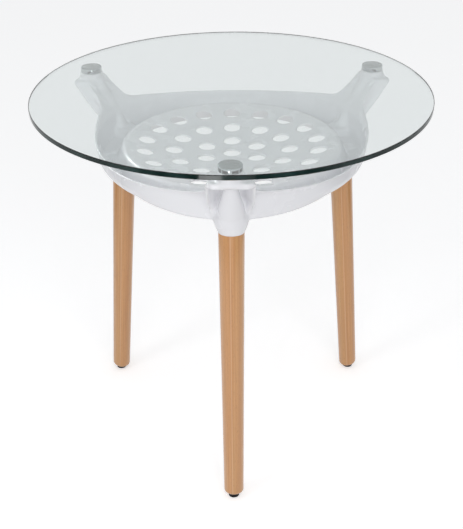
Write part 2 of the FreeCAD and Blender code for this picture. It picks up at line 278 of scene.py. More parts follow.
# %% [markdown]
# Screws, washers, bolts and nails are plain zinc-plated steel with blotches in the plating, and the
# inserts are brass. Both are the same finish in two colours, so one function makes them.

# %% Materials: plated steel and brass
def plated(name, bright, dull):
    """Metal with blotches of dull plating."""
    material, tree, out = new_material(name)
    blotches = use_group(tree, marks, Scale=180.0)
    gloss = ranged(tree, blotches, 0.0, 1.0, 0.22, 0.42)
    shader = node(tree, "ShaderNodeBsdfPrincipled", {
        "Base Color": mixed_colour(tree, blotches, bright, dull), "Metallic": 1.0, "Roughness": gloss,
    })
    tree.links.new(shader.outputs[0], out.inputs["Surface"])
    print("material", name)
    return material


steel_small = plated("steel_small", (0.62, 0.63, 0.65, 1), (0.48, 0.49, 0.50, 1))
brass_insert = plated("brass_insert", (0.78, 0.57, 0.25, 1), (0.62, 0.44, 0.18, 1))

# %% [markdown]
# ## Beech
# Beech is a pale, even wood with fine straight streaks along the length and short dark flecks. A leg
# blank is glued up from staves before it is turned, so tone changes from stave to stave. The fine pale
# line at each stave boundary is a painted highlight, a thin streak of light on the lacquer. Each leg
# carries its own coordinates as a vector attribute, so that the grain
# runs along that leg and not along the world. Three noises stretched along the leg give bands, streaks
# and flecks. A picture of wood could be wrapped round the legs instead, but noises need no file and never
# repeat.

# %% Material: beech
STAVE_WIDTH = 0.024
HIGHLIGHT_LINE_WIDTH = 0.0011
beech, tree, out = new_material("beech")
grain = node(tree, "ShaderNodeAttribute", attribute_name="grain").outputs["Vector"]
blank = node(tree, "ShaderNodeAttribute", attribute_name="blank").outputs["Fac"]


def stretched(across, along):
    """Grain coordinates scaled by different amounts across and along the leg."""
    scales = (across, across, along)
    return node(tree, "ShaderNodeVectorMath", {0: grain, 1: scales}, operation="MULTIPLY").outputs[0]


across_leg = node(tree, "ShaderNodeSeparateXYZ", {0: grain}).outputs[0]
staves = calculate(tree, "DIVIDE", across_leg, STAVE_WIDTH)
stave = calculate(tree, "FLOOR", staves)
stave_place = node(tree, "ShaderNodeCombineXYZ", {0: stave, 1: blank}).outputs[0]
stave_tone = node(tree, "ShaderNodeTexWhiteNoise", {"Vector": stave_place}, noise_dimensions="3D")
from_stave_edge = calculate(tree, "PINGPONG", staves, 0.5)
# Painted highlight: a fine pale line at each stave boundary stands in for a streak of light on the lacquer.
painted_highlight_line = ranged(tree, from_stave_edge, 0.0, HIGHLIGHT_LINE_WIDTH / STAVE_WIDTH, 0.45, 0.0)
bands = node(tree, "ShaderNodeTexNoise", {"Vector": stretched(150.0, 1.2), "Scale": 1.0, "Detail": 3.0})
lines = node(tree, "ShaderNodeTexNoise", {"Vector": stretched(480.0, 5.0), "Scale": 1.0, "Detail": 4.0})
flecks = node(tree, "ShaderNodeTexNoise", {"Vector": stretched(1500.0, 130.0), "Scale": 1.0, "Detail": 1.0})
band_share = ranged(tree, bands.outputs[0], 0.3, 0.7, 0.0, 1.0)
line_share = ranged(tree, lines.outputs[0], 0.35, 0.7, 0.0, 0.55)
fleck_share = ranged(tree, flecks.outputs[0], 0.62, 0.72, 0.0, 0.5)
stave_colour = mixed_colour(tree, stave_tone.outputs[0], (0.68, 0.335, 0.135, 1), (0.66, 0.385, 0.16, 1))
colour = mixed_colour(tree, band_share, stave_colour, (0.60, 0.285, 0.105, 1))
colour = mixed_colour(tree, line_share, colour, (0.49, 0.225, 0.085, 1))
colour = mixed_colour(tree, fleck_share, colour, (0.36, 0.18, 0.08, 1))
# The painted highlight line, in a pale colour over the wood.
colour = mixed_colour(tree, painted_highlight_line, colour, (0.80, 0.58, 0.40, 1))
lacquer = ranged(tree, use_group(tree, marks, Scale=25.0), 0.0, 1.0, 0.30, 0.42)
shader = node(tree, "ShaderNodeBsdfPrincipled", {
    "Base Color": colour, "Roughness": lacquer, "Coat Weight": 0.6, "Coat Roughness": 0.12,
    "Normal": bumped(tree, lines.outputs[0], 0.12, 0.0004),
})
tree.links.new(shader.outputs[0], out.inputs["Surface"])
print("material", beech.name)

# %% [markdown]
# ## Black plastic and bond
# The glides under the legs are black plastic with a fine mould grain, dulled where they slide. The clear
# bond between glass and pad is a thin soft film with tiny bubbles. Both pieces are small, so the shared
# groups with finer scales are enough.

# %% Materials: black plastic and clear bond
black_plastic, tree, out = new_material("black_plastic")
scuffs = use_group(tree, marks, Scale=90.0)
shader = node(tree, "ShaderNodeBsdfPrincipled", {
    "Base Color": mixed_colour(tree, scuffs, (0.004, 0.004, 0.005, 1), (0.010, 0.010, 0.011, 1)),
    "Roughness": ranged(tree, scuffs, 0.0, 1.0, 0.5, 0.7), "Specular IOR Level": 0.2,
    "Normal": bumped(tree, use_group(tree, skin, Broad=60.0, Fine=2200.0, Fine_Share=0.5), 0.2, 0.0004),
})
tree.links.new(shader.outputs[0], out.inputs["Surface"])
bond_clear, tree, out = new_material("bond_clear")
bubbles = use_group(tree, marks, Scale=500.0)
shader = node(tree, "ShaderNodeBsdfPrincipled", {
    "Base Color": mixed_colour(tree, bubbles, (0.86, 0.88, 0.87, 1), (0.78, 0.80, 0.79, 1)),
    "Roughness": ranged(tree, bubbles, 0.0, 1.0, 0.05, 0.2), "IOR": 1.45, "Transmission Weight": 1.0,
})
tree.links.new(shader.outputs[0], out.inputs["Surface"])
print("materials", black_plastic.name, bond_clear.name)

# %% [markdown]
# ## Helpers for pieces
# A finished piece is a plain mesh at the origin with smooth shading. Edges that turn sharply stay crisp,
# so the flat faces of a turned disc don't look like a cushion.

# %% Make and hand over a piece
CRISP = math.radians(32)


def new_piece(name, points, faces, material):
    """Mesh object from points and faces, with outward normals and one material."""
    mesh = bpy.data.meshes.new(name)
    mesh.from_pydata([tuple(point) for point in points], [], [tuple(face) for face in faces])
    mesh.materials.append(material)
    piece = bpy.data.objects.new(name, mesh)
    bpy.context.scene.collection.objects.link(piece)
    work = bmesh.new()
    work.from_mesh(mesh)
    bmesh.ops.recalc_face_normals(work, faces=work.faces)
    work.to_mesh(mesh)
    work.free()
    return piece


def smooth(piece):
    """Smooth shading that keeps sharp turns crisp."""
    piece.data.shade_smooth()
    piece.data.set_sharp_from_angle(angle=CRISP)


def hand_over(piece, slot_name, *nodes):
    """Let a piece stand for its solids and follow the table's one body."""
    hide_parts(*nodes)
    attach(piece, "root")
    piece.data.calc_loop_triangles()
    print(piece.name, len(piece.data.loop_triangles), "triangles, stands for", ", ".join(nodes))


print("piece helpers ready")

# %% [markdown]
# Most pieces of this table come off a lathe. So they are made the way a turner works: an outline of
# radius and height goes round an upright axis. Blender's Screw modifier does the same, but here the
# points are wanted at once, because some of them are moved or carry an attribute.

# %% Turn an outline
def turned(profile, segments, centre=(0.0, 0.0)):
    """Points and faces of an outline of (radius, height) turned about an upright axis."""
    points = []
    rows = []
    for radius, height in profile:
        if radius == 0.0:
            rows.append([len(points)] * segments)
            points.append((centre[0], centre[1], height))
            continue
        rows.append([len(points) + index for index in range(segments)])
        for index in range(segments):
            angle = 2 * math.pi * index / segments
            x = centre[0] + radius * math.cos(angle)
            y = centre[1] + radius * math.sin(angle)
            points.append((x, y, height))
    faces = []
    for low, high in zip(rows[:-1], rows[1:]):
        for index in range(segments):
            ahead = (index + 1) % segments
            corners = [low[index], low[ahead], high[ahead], high[index]]
            faces.append(list(dict.fromkeys(corners)))
    return points, faces


def quarter(centre_radius, centre_height, radius, start, steps=4):
    """Points of a quarter circle in an outline, from a starting angle in degrees."""
    points = []
    for index in range(steps + 1):
        angle = math.radians(start + 90 * index / steps)
        points.append((centre_radius + radius * math.cos(angle), centre_height + radius * math.sin(angle)))
    return points


def arm_point(arm, reach, height=0.0):
    """Point at a distance along one arm."""
    return Vector((reach * math.cos(arm_turn[arm]), reach * math.sin(arm_turn[arm]), height))


print("turning helpers ready")

# %% [markdown]
# ## The glass top
# The top is a cut disc of float glass with a small ground arris on both rims. A bevelled cylinder would
# do, but an outline turned about the table's axis keeps the two finishes apart: the upright face of the
# rim gets the green edge, the faces and the arrises the clear glass.

# %% Piece: glass top
GLASS_ARRIS = 0.0012
GLASS_SEGMENTS = 256
UPRIGHT = 0.5
face_radius = glass_radius - GLASS_ARRIS
glass_outline = [
    (0.0, glass_bottom), (face_radius, glass_bottom), (glass_radius, glass_bottom + GLASS_ARRIS),
    (glass_radius, table_height - GLASS_ARRIS), (face_radius, table_height), (0.0, table_height),
]
glass = new_piece("glass_disc", *turned(glass_outline, GLASS_SEGMENTS), table_glass)
glass.data.materials.append(glass_edge)
for face in glass.data.polygons:
    if abs(face.normal.z) < UPRIGHT:
        face.material_index = 1
smooth(glass)
hand_over(glass, "table_glass", "glass_top")

# %% [markdown]
# ## Chrome pads
# Each pad is a low turned disc with rounded edges, whose outline gives the edge its exact radius. It also
# carries a vector attribute measured from its own axis, which places the turning rings of the chrome.
# Object coordinates would put the rings about the middle of the table.

# %% Pieces: chrome pads
PAD_EDGE = 0.0014
PAD_SEGMENTS = 96
pad_outline = [(0.0, pad_bottom)]
pad_outline += quarter(pad_radius - PAD_EDGE, pad_bottom + PAD_EDGE, PAD_EDGE, 270)
pad_outline += quarter(pad_radius - PAD_EDGE, pad_top - PAD_EDGE, PAD_EDGE, 0)
pad_outline += [(0.0, pad_top)]
for arm in ARMS:
    centre = arm_point(arm, pad_place)
    pad = new_piece("chrome_pad_" + arm, *turned(pad_outline, PAD_SEGMENTS, centre), chrome_pad)
    lathe = pad.data.attributes.new("lathe", "FLOAT_VECTOR", "POINT")
    for index, vertex in enumerate(pad.data.vertices):
        lathe.data[index].vector = vertex.co - centre
    smooth(pad)
    hand_over(pad, "chrome_pad", "support_pad_" + arm)

# %% [markdown]
# ## Bond film
# A thin clear film holds the glass on each pad. The film is drawn a hair thinner than the joint, because
# two clear surfaces in exactly the same place would show as black specks.

# %% Pieces: bond films
FILM_GAP = 0.00006
FILM_SEGMENTS = 64
film_low, film_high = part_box("bond_film_front")
film_radius = (film_high[0] - film_low[0]) / 2
film_outline = [
    (0.0, film_low[2] + FILM_GAP), (film_radius, film_low[2] + FILM_GAP),
    (film_radius, film_high[2] - FILM_GAP), (0.0, film_high[2] - FILM_GAP),
]
for arm in ARMS:
    disc = turned(film_outline, FILM_SEGMENTS, arm_point(arm, pad_place))
    film = new_piece("clear_bond_" + arm, *disc, bond_clear)
    smooth(film)
    hand_over(film, "bond_clear", "bond_film_" + arm)

# %% [markdown]
# ## The leg's axis
# The legs lean a little outwards. Their axis runs from the floor at the foot to the middle of the
# socket's collar under the arm. The bowl's corner fixes where that collar stands, so the plan of the bowl
# comes first: three shallow arcs whose centres lie beyond the table's axis.

# %% Plan of the bowl and axis of the leg
BOWL_INSET = 0.1265
SIDE_OFFSET = 0.0265
COLLAR_INSET = 0.0155
LEG_SPREAD = 0.0475
BOSS_HEIGHT = 0.0115
TRAY_DEPTH = 0.115
COLLAR_DROP = 0.025
third = math.radians(120)
side_reach = glass_radius - BOWL_INSET
side_arc = side_reach + SIDE_OFFSET
offset_along = SIDE_OFFSET * math.cos(third / 2)
offset_across = SIDE_OFFSET * math.sin(third / 2)
corner_reach = math.sqrt(side_arc ** 2 - offset_across ** 2) - offset_along
plate_top = pad_bottom - BOSS_HEIGHT
tray_bottom = plate_top - TRAY_DEPTH
collar_level = tray_bottom - COLLAR_DROP
collar_reach = corner_reach - COLLAR_INSET
foot_reach = collar_reach + LEG_SPREAD
leg_splay = math.atan2(LEG_SPREAD, collar_level)
print("collar at", round(collar_reach, 4), round(collar_level, 4))
print("splay in degrees", round(math.degrees(leg_splay), 2))

# %% [markdown]
# ## Beech legs
# A leg is turned on a lathe, thicker at the top. Its lower end is cut level and rounded over, and its
# upper end is square to its own axis, with a tenon that sits in the socket. A plain cone, tilted, would
# stand on its edge. Here rings of points follow the axis: the lowest ring lies level and the rings turn
# step by step until they are square to the axis. Each point keeps its place in the leg's own coordinates
# as the attribute that the grain uses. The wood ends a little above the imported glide, because the photo
# shows slightly more of the glide than the solids do.

# %% Outline of a leg
LEG_TOP_RADIUS = 0.02475
LEG_FOOT_RADIUS = 0.020
LEG_FOOT_ROUND = 0.008
LEG_FOOT_LIFT = 0.0025
LEG_TOP_EASE = 0.0007
TENON_RADIUS = 0.018
TENON_LENGTH = 0.020
LEG_ROWS = 60
FOOT_STEPS = 8
leg_rise = collar_level / math.cos(leg_splay)
wood_foot = glide_height + LEG_FOOT_LIFT


def leg_outline():
    """Radius and distance along the axis for each ring of a leg, from the foot to the tenon's end."""
    flat_radius = LEG_FOOT_RADIUS - LEG_FOOT_ROUND
    rows = [(0.0, wood_foot)]
    rows += quarter(flat_radius, wood_foot + LEG_FOOT_ROUND, LEG_FOOT_ROUND, 270, FOOT_STEPS)
    start = rows[-1][1]
    top = leg_rise - LEG_TOP_EASE
    for index in range(1, LEG_ROWS + 1):
        share = index / LEG_ROWS
        radius = LEG_FOOT_RADIUS + (LEG_TOP_RADIUS - LEG_FOOT_RADIUS) * share
        rows.append((radius, start + (top - start) * share))
    rows += [(LEG_TOP_RADIUS - LEG_TOP_EASE, leg_rise), (TENON_RADIUS, leg_rise)]
    return rows + [(TENON_RADIUS, leg_rise + TENON_LENGTH), (0.0, leg_rise + TENON_LENGTH)]


print("leg", round(leg_rise, 4), "m along its axis, drawn with", len(leg_outline()), "rings")

# %% Pieces: legs
LEG_SEGMENTS = 72
# Shift of the staves across the leg, which sets where the painted highlight lines fall.
HIGHLIGHT_LINE_PLACE = 0.0024
LEVEL_REACH = 0.06
for number, arm in enumerate(ARMS):
    outward = arm_point(arm, 1.0)
    up_axis = (Vector((0, 0, 1)) * math.cos(leg_splay) - outward * math.sin(leg_splay)).normalized()
    sideways = up_axis.cross(outward).normalized()
    forward = sideways.cross(up_axis).normalized()
    foot = arm_point(arm, foot_reach)
    local, faces = turned(leg_outline(), LEG_SEGMENTS)
    points = []
    for x, y, along in local:
        level = 1 - min(max((along - wood_foot) / LEVEL_REACH, 0.0), 1.0)
        slant = level * x * math.tan(leg_splay)
        points.append(foot + forward * x + sideways * y + up_axis * (along + slant))
    leg = new_piece("beech_leg_" + arm, points, faces, beech)
    grain_values = leg.data.attributes.new("grain", "FLOAT_VECTOR", "POINT").data
    for index, (x, y, along) in enumerate(local):
        across = forward * x + sideways * y
        grain_values[index].vector = (across.x + HIGHLIGHT_LINE_PLACE, across.y + number, along + number)
    blank_values = leg.data.attributes.new("blank", "FLOAT", "POINT").data
    for value in blank_values:
        value.value = number
    smooth(leg)
    hand_over(leg, "beech", "leg_" + arm)

# %% [markdown]
# ## Glides
# A glide is a small black disc nailed under the leg, with a rounded lower edge so that it slides. It is
# turned like the pads, stands level on the floor and reaches up to the wood.

# %% Pieces: glides
GLIDE_EDGE = 0.0018
GLIDE_SEGMENTS = 64
glide_outline = [(0.0, 0.0)]
glide_outline += quarter(glide_radius - GLIDE_EDGE, GLIDE_EDGE, GLIDE_EDGE, 270)
glide_outline += [(glide_radius, wood_foot), (0.0, wood_foot)]
for arm in ARMS:
    disc = turned(glide_outline, GLIDE_SEGMENTS, arm_point(arm, glide_place))
    glide = new_piece("black_glide_" + arm, *disc, black_plastic)
    smooth(glide)
    hand_over(glide, "black_plastic", "glide_" + arm)

# %% [markdown]
# ## The moulding rule
# The tray is one moulding in which walls, dish, arms and sockets flow into each other with fillets.
# Joining solids and filleting their edges is hard to control in a mesh. Here the whole form is one rule
# instead: a function that gives for any point its distance to the plastic, negative inside. Forms are
# joined or cut by comparing distances, and a radius in that comparison rounds the seam, as the mould
# maker's cutter does.

# %% Join and cut with rounded seams
def joined(first, second, radius):
    """Distance to two forms together, with a fillet along their seam."""
    inner = np.hypot(np.maximum(radius - first, 0), np.maximum(radius - second, 0))
    return np.maximum(radius, np.minimum(first, second)) - inner


def eased(first, second, width):
    """Distance to two forms together where they meet at a shallow angle, with a soft bend of that width."""
    overlap = np.maximum(width - np.abs(first - second), 0)
    return np.minimum(first, second) - overlap ** 2 / (4 * width)


def shared(first, second, radius):
    """Distance to what two forms have in common, with a rounded edge."""
    outer = np.hypot(np.maximum(radius + first, 0), np.maximum(radius + second, 0))
    return np.minimum(-radius, np.maximum(first, second)) + outer


def beyond_line(along, height, start, end):
    """Distance to the right of a line in the upright plane of an arm."""
    run = end[0] - start[0]
    rise = end[1] - start[1]
    return ((along - start[0]) * rise - (height - start[1]) * run) / math.hypot(run, rise)


def arm_view(points):
    """Each point as seen from its nearest arm: distance out, distance to the side, height."""
    bearing = np.arctan2(points[1], points[0]) - arm_turn["right"]
    from_arm = (bearing + third / 2) % third - third / 2
    reach = np.hypot(points[0], points[1])
    return reach * np.cos(from_arm), np.abs(reach * np.sin(from_arm)), points[2]


print("rounded joins ready")

# %% [markdown]
# The bowl's wall rises, bends and leans out towards the pads. Its rim sags between the arms and sweeps up
# along each arm in a hollow curve. Its base edge is tight at the arms and rounder between them. In the
# middle stands a raised dish, with a moat between dish and wall.

# %% Sizes of bowl and dish
WALL = 0.004
RIM_RISE = 0.046
RIM_ARC = 1.3
BEND_RISE = 0.0515
BASE_INSET = 0.007
BASE_ROUND = 0.030
BASE_ROUND_AT_ARM = 0.005
BASE_ROUND_START = 0.050
BASE_ROUND_RUN = 0.130
BEND_EASE = 0.0042
ARM_NECK = 0.020
ARM_FLARE = 0.045
RIM_EDGE = 0.0018
CORNER_SOFT = 0.010
MOAT_WIDTH = 0.060
MOAT_FILLET = 0.006
DISH_RISE = 0.0373
DISH_SAG = 0.0258
DISH_BROW = 0.009
FLANK_ANGLE = math.radians(66)
ROOT_INSET = 0.006
bend_level = tray_bottom + BEND_RISE
root_reach = pad_place - ROOT_INSET
root_arc = math.hypot(root_reach + offset_along, offset_across)
dish_radius = side_reach - MOAT_WIDTH
dish_sphere = (dish_radius ** 2 + DISH_SAG ** 2) / (2 * DISH_SAG)
dish_centre = tray_bottom + DISH_RISE - DISH_SAG + dish_sphere
dish_tilt = math.asin(dish_radius / dish_sphere)
brow_reach = dish_radius + DISH_BROW * math.sin(dish_tilt)
brow_level = tray_bottom + DISH_RISE - DISH_BROW * math.cos(dish_tilt)
print("dish radius", round(dish_radius, 4), "hollow sphere", round(dish_sphere, 4))

# %% Rule: bowl and dish
def bowl_filling(out, side, height):
    """Distance to the bowl as if it were filled to its outer surface."""
    arc = np.hypot(out + offset_along, np.hypot(side, CORNER_SOFT) + offset_across)
    lower = beyond_line(arc, height, (side_arc - BASE_INSET, tray_bottom), (side_arc, bend_level))
    upper = beyond_line(arc, height, (side_arc, bend_level), (root_arc, plate_top))
    from_arm = np.clip((side - BASE_ROUND_START) / BASE_ROUND_RUN, 0, 1)
    base_round = BASE_ROUND_AT_ARM + (BASE_ROUND - BASE_ROUND_AT_ARM) * from_arm ** 2
    return shared(eased(lower, upper, BEND_EASE), tray_bottom - height, base_round)


def below_rim(out, side, height):
    """Distance to the room below the rim, which sags between the arms and climbs along them."""
    along_side = out * math.sin(third / 2) - side * math.cos(third / 2)
    steep = np.sqrt(np.maximum(RIM_ARC ** 2 - along_side ** 2, 0))
    rim = (height - tray_bottom - RIM_RISE - RIM_ARC + steep) * steep / RIM_ARC
    neck = joined(rim, side - ARM_NECK, ARM_FLARE)
    return shared(neck, height - plate_top + WALL / 2, RIM_EDGE)


def dish_mound(out, side, height):
    """Distance to the mound whose skin is the dish."""
    reach = np.hypot(out, side)
    hollow = dish_sphere - np.hypot(reach, height - dish_centre)
    beside = (reach - brow_reach) * math.sin(FLANK_ANGLE)
    above = (height - brow_level) * math.cos(FLANK_ANGLE)
    return shared(hollow, beside + above - DISH_BROW, DISH_BROW)


def skin_of(filling):
    """Distance to a skin of the wall's thickness just inside a filled form."""
    return np.abs(filling + WALL / 2) - WALL / 2


print("rules for bowl and dish ready, wall", WALL)

# %% [markdown]
# Under each arm a rounded keel grows out of the leg's socket, and inside the arm a soft ridge, the trunk,
# runs down from the pad into the moat. Both are rods in the middle plane of the arm. The collar of the
# socket has the same width as the leg.

# %% Sizes of socket, keel and trunk
SOCKET_SWELL = 0.00725
SOCKET_FLARE = 0.026
FLARE_EASE = 0.06
SOCKET_TOP = 0.042
SOCKET_CAP_ROUND = 0.010
COLLAR_EDGE = 0.0012
KEEL_RADIUS = 0.0305
KEEL_TIP_RADIUS = 0.012
KEEL_TIP_INSET = 0.009
KEEL_TIP_DROP = 0.018
TRUNK_RADIUS = 0.017
TRUNK_FOOT_INSET = 0.004
TRUNK_FOOT_RISE = 0.018
TRUNK_HEAD_INSET = 0.006
TRUNK_HEAD_DROP = 0.016
PLATE_THICKNESS = 0.005
plate_under = plate_top - PLATE_THICKNESS
print("plate between", round(plate_under, 4), "and", round(plate_top, 4))

# %% Measure along a leg and along a rod
def leg_view(out, height):
    """Distance above the collar along a leg's axis, and distance out from that axis."""
    beyond = out - collar_reach
    above = height - collar_level
    along = above * math.cos(leg_splay) - beyond * math.sin(leg_splay)
    across = beyond * math.cos(leg_splay) + above * math.sin(leg_splay)
    return along, across


def rod_gap(out, side, height, start, end):
    """Distance to a line in the middle plane of an arm, and the share of its length at that place."""
    run = end[0] - start[0]
    rise = end[1] - start[1]
    beyond = out - start[0]
    above = height - start[1]
    share = np.clip((beyond * run + above * rise) / (run ** 2 + rise ** 2), 0, 1)
    gap = np.sqrt((beyond - run * share) ** 2 + side ** 2 + (above - rise * share) ** 2)
    return gap, share


print("floor seen from the collar, along and out", [round(value, 4) for value in leg_view(foot_reach, 0.0)])

# %% Rule: socket, keel and trunk
def socket(out, side, height):
    """Distance to one leg socket, a collar that widens to a rounded column about the leg's axis."""
    along, across = leg_view(out, height)
    share = along / SOCKET_FLARE
    grown = (share + 1 - np.sqrt((share - 1) ** 2 + FLARE_EASE)) / 2
    side_gap = np.hypot(across, side) - LEG_TOP_RADIUS - SOCKET_SWELL * grown
    column = shared(side_gap, along - SOCKET_TOP, SOCKET_CAP_ROUND)
    return shared(column, -along, COLLAR_EDGE)


def keel(out, side, height, filling):
    """Distance to the ridge that tapers from the socket up to the plate, outside the wall."""
    start_reach = collar_reach - SOCKET_FLARE * math.sin(leg_splay)
    start_level = collar_level + SOCKET_FLARE * math.cos(leg_splay)
    end = (root_reach - KEEL_TIP_INSET, plate_under - KEEL_TIP_DROP)
    gap, share = rod_gap(out, side, height, (start_reach, start_level), end)
    ridge = gap - KEEL_RADIUS + (KEEL_RADIUS - KEEL_TIP_RADIUS) * share
    return np.maximum(ridge, -filling)


def trunk(out, side, height):
    """Distance to the rounded ridge that runs down the inside of the arm from the pad into the moat."""
    start = (corner_reach - TRUNK_FOOT_INSET, tray_bottom + TRUNK_FOOT_RISE)
    end = (root_reach - TRUNK_HEAD_INSET, plate_top - TRUNK_HEAD_DROP)
    gap, _ = rod_gap(out, side, height, start, end)
    return gap - TRUNK_RADIUS


print("socket from", round(collar_level, 4), "to", round(collar_level + SOCKET_TOP, 4))

# %% [markdown]
# Two thin ribs close the sides of the recess under each arm and spread outwards. On top a flat plate with
# a turned-down lip and a round boss carries the pad. The plate is hollow below, as a moulding has to be.

# %% Sizes of ribs and plate
LIP_HEIGHT = 0.011
PLATE_OVERHANG = 0.020
PLATE_ROOT = 0.020
PLATE_ROOT_HALF = 0.023
PLATE_TIP_HALF = 0.049
PLATE_CORNER = 0.018
PLATE_EDGE = 0.0024
BOSS_EDGE = 0.0016
BOSS_FILLET = 0.008
BOSS_MARGIN = 0.0015
RIB_THICKNESS = 0.006
RIB_INSIDE = 0.026
RIB_SPREAD = 0.013
RIB_TIP_INSET = 0.012
RIB_DEPTH = 0.021
RIB_FOOT_DROP = 0.034
RIB_HEAD_INSET = 0.003
RIB_HEAD_DROP = 0.0325
plate_reach = pad_place + PLATE_OVERHANG
lip_level = plate_top - LIP_HEIGHT
print("plate from", round(root_reach - PLATE_ROOT, 4), "to", round(plate_reach, 4))

# %% Rule: ribs and plate
def ribs(out, side, height, filling):
    """Distance to the two ribs beside the recess of one arm."""
    foot_reach_in = corner_reach - BASE_INSET * RIB_FOOT_DROP / BEND_RISE - BASE_INSET
    foot = (foot_reach_in, bend_level - RIB_FOOT_DROP)
    head = (root_reach - RIB_HEAD_INSET, plate_top - RIB_HEAD_DROP)
    tip = (plate_reach - RIB_TIP_INSET, lip_level)
    middle = RIB_INSIDE + RIB_THICKNESS / 2 + RIB_SPREAD * np.clip(filling / RIB_DEPTH, 0, 1)
    sheet = np.abs(side - middle) - RIB_THICKNESS / 2
    under = np.maximum(beyond_line(out, height, foot, head), beyond_line(out, height, head, tip))
    rib = shared(sheet, under, RIB_THICKNESS / 2)
    rib = shared(rib, foot[1] - height, RIB_THICKNESS / 2)
    outside = np.maximum(-filling, foot[0] - RIB_DEPTH - out)
    return np.maximum(np.maximum(rib, outside), height - plate_under)


def plate(out, side, height, filling):
    """Distance to the pad plate with its lip, its hollow underside and the boss under the pad."""
    root = root_reach - PLATE_ROOT
    tilt = math.atan2(PLATE_TIP_HALF - PLATE_ROOT_HALF, plate_reach - root)
    flank = (side - PLATE_ROOT_HALF) * math.cos(tilt) - (out - root) * math.sin(tilt)
    plan = shared(flank, out - plate_reach, PLATE_CORNER)
    block = shared(shared(plan, height - plate_top, PLATE_EDGE), lip_level - height, PLATE_EDGE)
    hollow = np.maximum(plan + PLATE_THICKNESS, height - plate_under)
    block = np.maximum(shared(block, -hollow, PLATE_EDGE), -filling - WALL)
    rim = np.hypot(out - pad_place, side) - pad_radius - BOSS_MARGIN
    boss = shared(shared(rim, height - pad_bottom, BOSS_EDGE), plate_under - height, BOSS_EDGE)
    return joined(block, boss, BOSS_FILLET)


print("rules for ribs and plate ready, lip at", round(lip_level, 4))

# %% [markdown]
# The whole moulding is these forms joined one after another, each with its own fillet. The ribs get a
# wide fillet on their outer side and a tight one in the recess. The tenon's bore is cut last.

# %% Rule: the whole tray
RIB_FILLET = 0.007
RIB_OUTER_FILLET = 0.016
KEEL_FILLET = 0.005
SOCKET_FILLET = 0.008
PLATE_FILLET = 0.005
TRUNK_FILLET = 0.005
BORE_GAP = 0.0002


def moulding(points):
    """Distance of points, as an array of three rows, to the surface of the tray."""
    out, side, height = arm_view(points)
    filling = bowl_filling(out, side, height)
    mound = dish_mound(out, side, height)
    body = shared(skin_of(filling), below_rim(out, side, height), RIM_EDGE)
    dish = np.maximum(skin_of(mound), tray_bottom - height)
    body = joined(body, dish, MOAT_FILLET)
    body = np.maximum(body, -mound - WALL)
    outer_side = np.clip((side - RIB_INSIDE) / RIB_THICKNESS, 0, 1)
    rib_fillet = RIB_FILLET + (RIB_OUTER_FILLET - RIB_FILLET) * outer_side
    ribbed = joined(body, ribs(out, side, height, filling), rib_fillet)
    body = np.minimum(body, np.maximum(ribbed, -filling - WALL))
    body = joined(body, keel(out, side, height, filling), KEEL_FILLET)
    body = joined(body, np.maximum(trunk(out, side, height), filling), TRUNK_FILLET)
    body = joined(body, socket(out, side, height), SOCKET_FILLET)
    body = joined(body, plate(out, side, height, filling), PLATE_FILLET)
    along, across = leg_view(out, height)
    bore_side = np.hypot(across, side) - TENON_RADIUS - BORE_GAP
    bore = np.maximum(bore_side, along - TENON_LENGTH - BORE_GAP)
    return np.maximum(body, -bore)


print("distance at the floor", round(float(moulding(np.zeros((3, 1)))[0]), 4))

# %% [markdown]
# ## Drawing the moulding
# A surface is drawn where the rule is zero. Space is cut into small cubes. In every cube that the surface
# crosses, each separate sheet gets one point, and neighbouring points are joined to quads. This is the
# dual marching cubes method. Sheets are told apart because the wall is hardly thicker than a cube, and
# its two faces may share one. Blender's voxel remesher could make such a mesh too, but it rounds off thin
# rims.

# %% Edges and faces of a cube
CORNERS = [(x, y, z) for x in (0, 1) for y in (0, 1) for z in (0, 1)]
CUBE_EDGES = {}
for corner in CORNERS:
    for axis in range(3):
        if corner[axis] == 0:
            end = tuple(1 if index == axis else value for index, value in enumerate(corner))
            CUBE_EDGES[(corner, end)] = len(CUBE_EDGES)


def edge_between(first, second):
    """Number of the cube edge between two corners."""
    return CUBE_EDGES[(min(first, second), max(first, second))]


CUBE_FACES = []
for axis in range(3):
    for side in (0, 1):
        ring = []
        for one, two in ((0, 0), (1, 0), (1, 1), (0, 1)):
            corner = [0, 0, 0]
            corner[axis] = side
            corner[(axis + 1) % 3] = one
            corner[(axis + 2) % 3] = two
            ring.append(tuple(corner))
        edges = [edge_between(ring[index], ring[(index + 1) % 4]) for index in range(4)]
        CUBE_FACES.append((ring[0], edges))
print("cube edges", len(CUBE_EDGES), "faces", len(CUBE_FACES))

# %% [markdown]
# The rule is asked for its value on a grid, for its slope, and for the places where it is zero. The slope
# points straight out of the plastic, so it moves a stray point back on the surface and gives the shading
# its direction.

# %% Ask a rule for values and slopes
SLOPE_REACH = 0.0002
NO_LENGTH = 1e-9


def sampled(rule, axes):
    """Values of a rule on a grid, layer by layer."""
    field = np.empty([len(axis) for axis in axes], np.float32)
    flat_x, flat_y = np.meshgrid(axes[0], axes[1], indexing="ij")
    for level, height in enumerate(axes[2]):
        layer = np.stack([flat_x.ravel(), flat_y.ravel(), np.full(flat_x.size, height)])
        field[:, :, level] = rule(layer).reshape(flat_x.shape)
    return field


def slope(rule, points):
    """Slope of a rule at points given as rows."""
    result = np.empty_like(points)
    for axis in range(3):
        shift = np.zeros(3)
        shift[axis] = SLOPE_REACH
        result[:, axis] = (rule((points + shift).T) - rule((points - shift).T)) / (2 * SLOPE_REACH)
    return result


def facing_out(rule, points):
    """Outward direction of the surface of a rule at points given as rows."""
    direction = slope(rule, points)
    return direction / np.maximum(np.linalg.norm(direction, axis=1), NO_LENGTH)[:, None]


print("slopes are measured over", 2 * SLOPE_REACH, "m")

# %% Find the places where a rule is zero
LEAST_STEEP = 0.1
LONGEST_MOVE = 0.001
ZERO_ROUNDS = 4
SETTLE_ROUNDS = 4


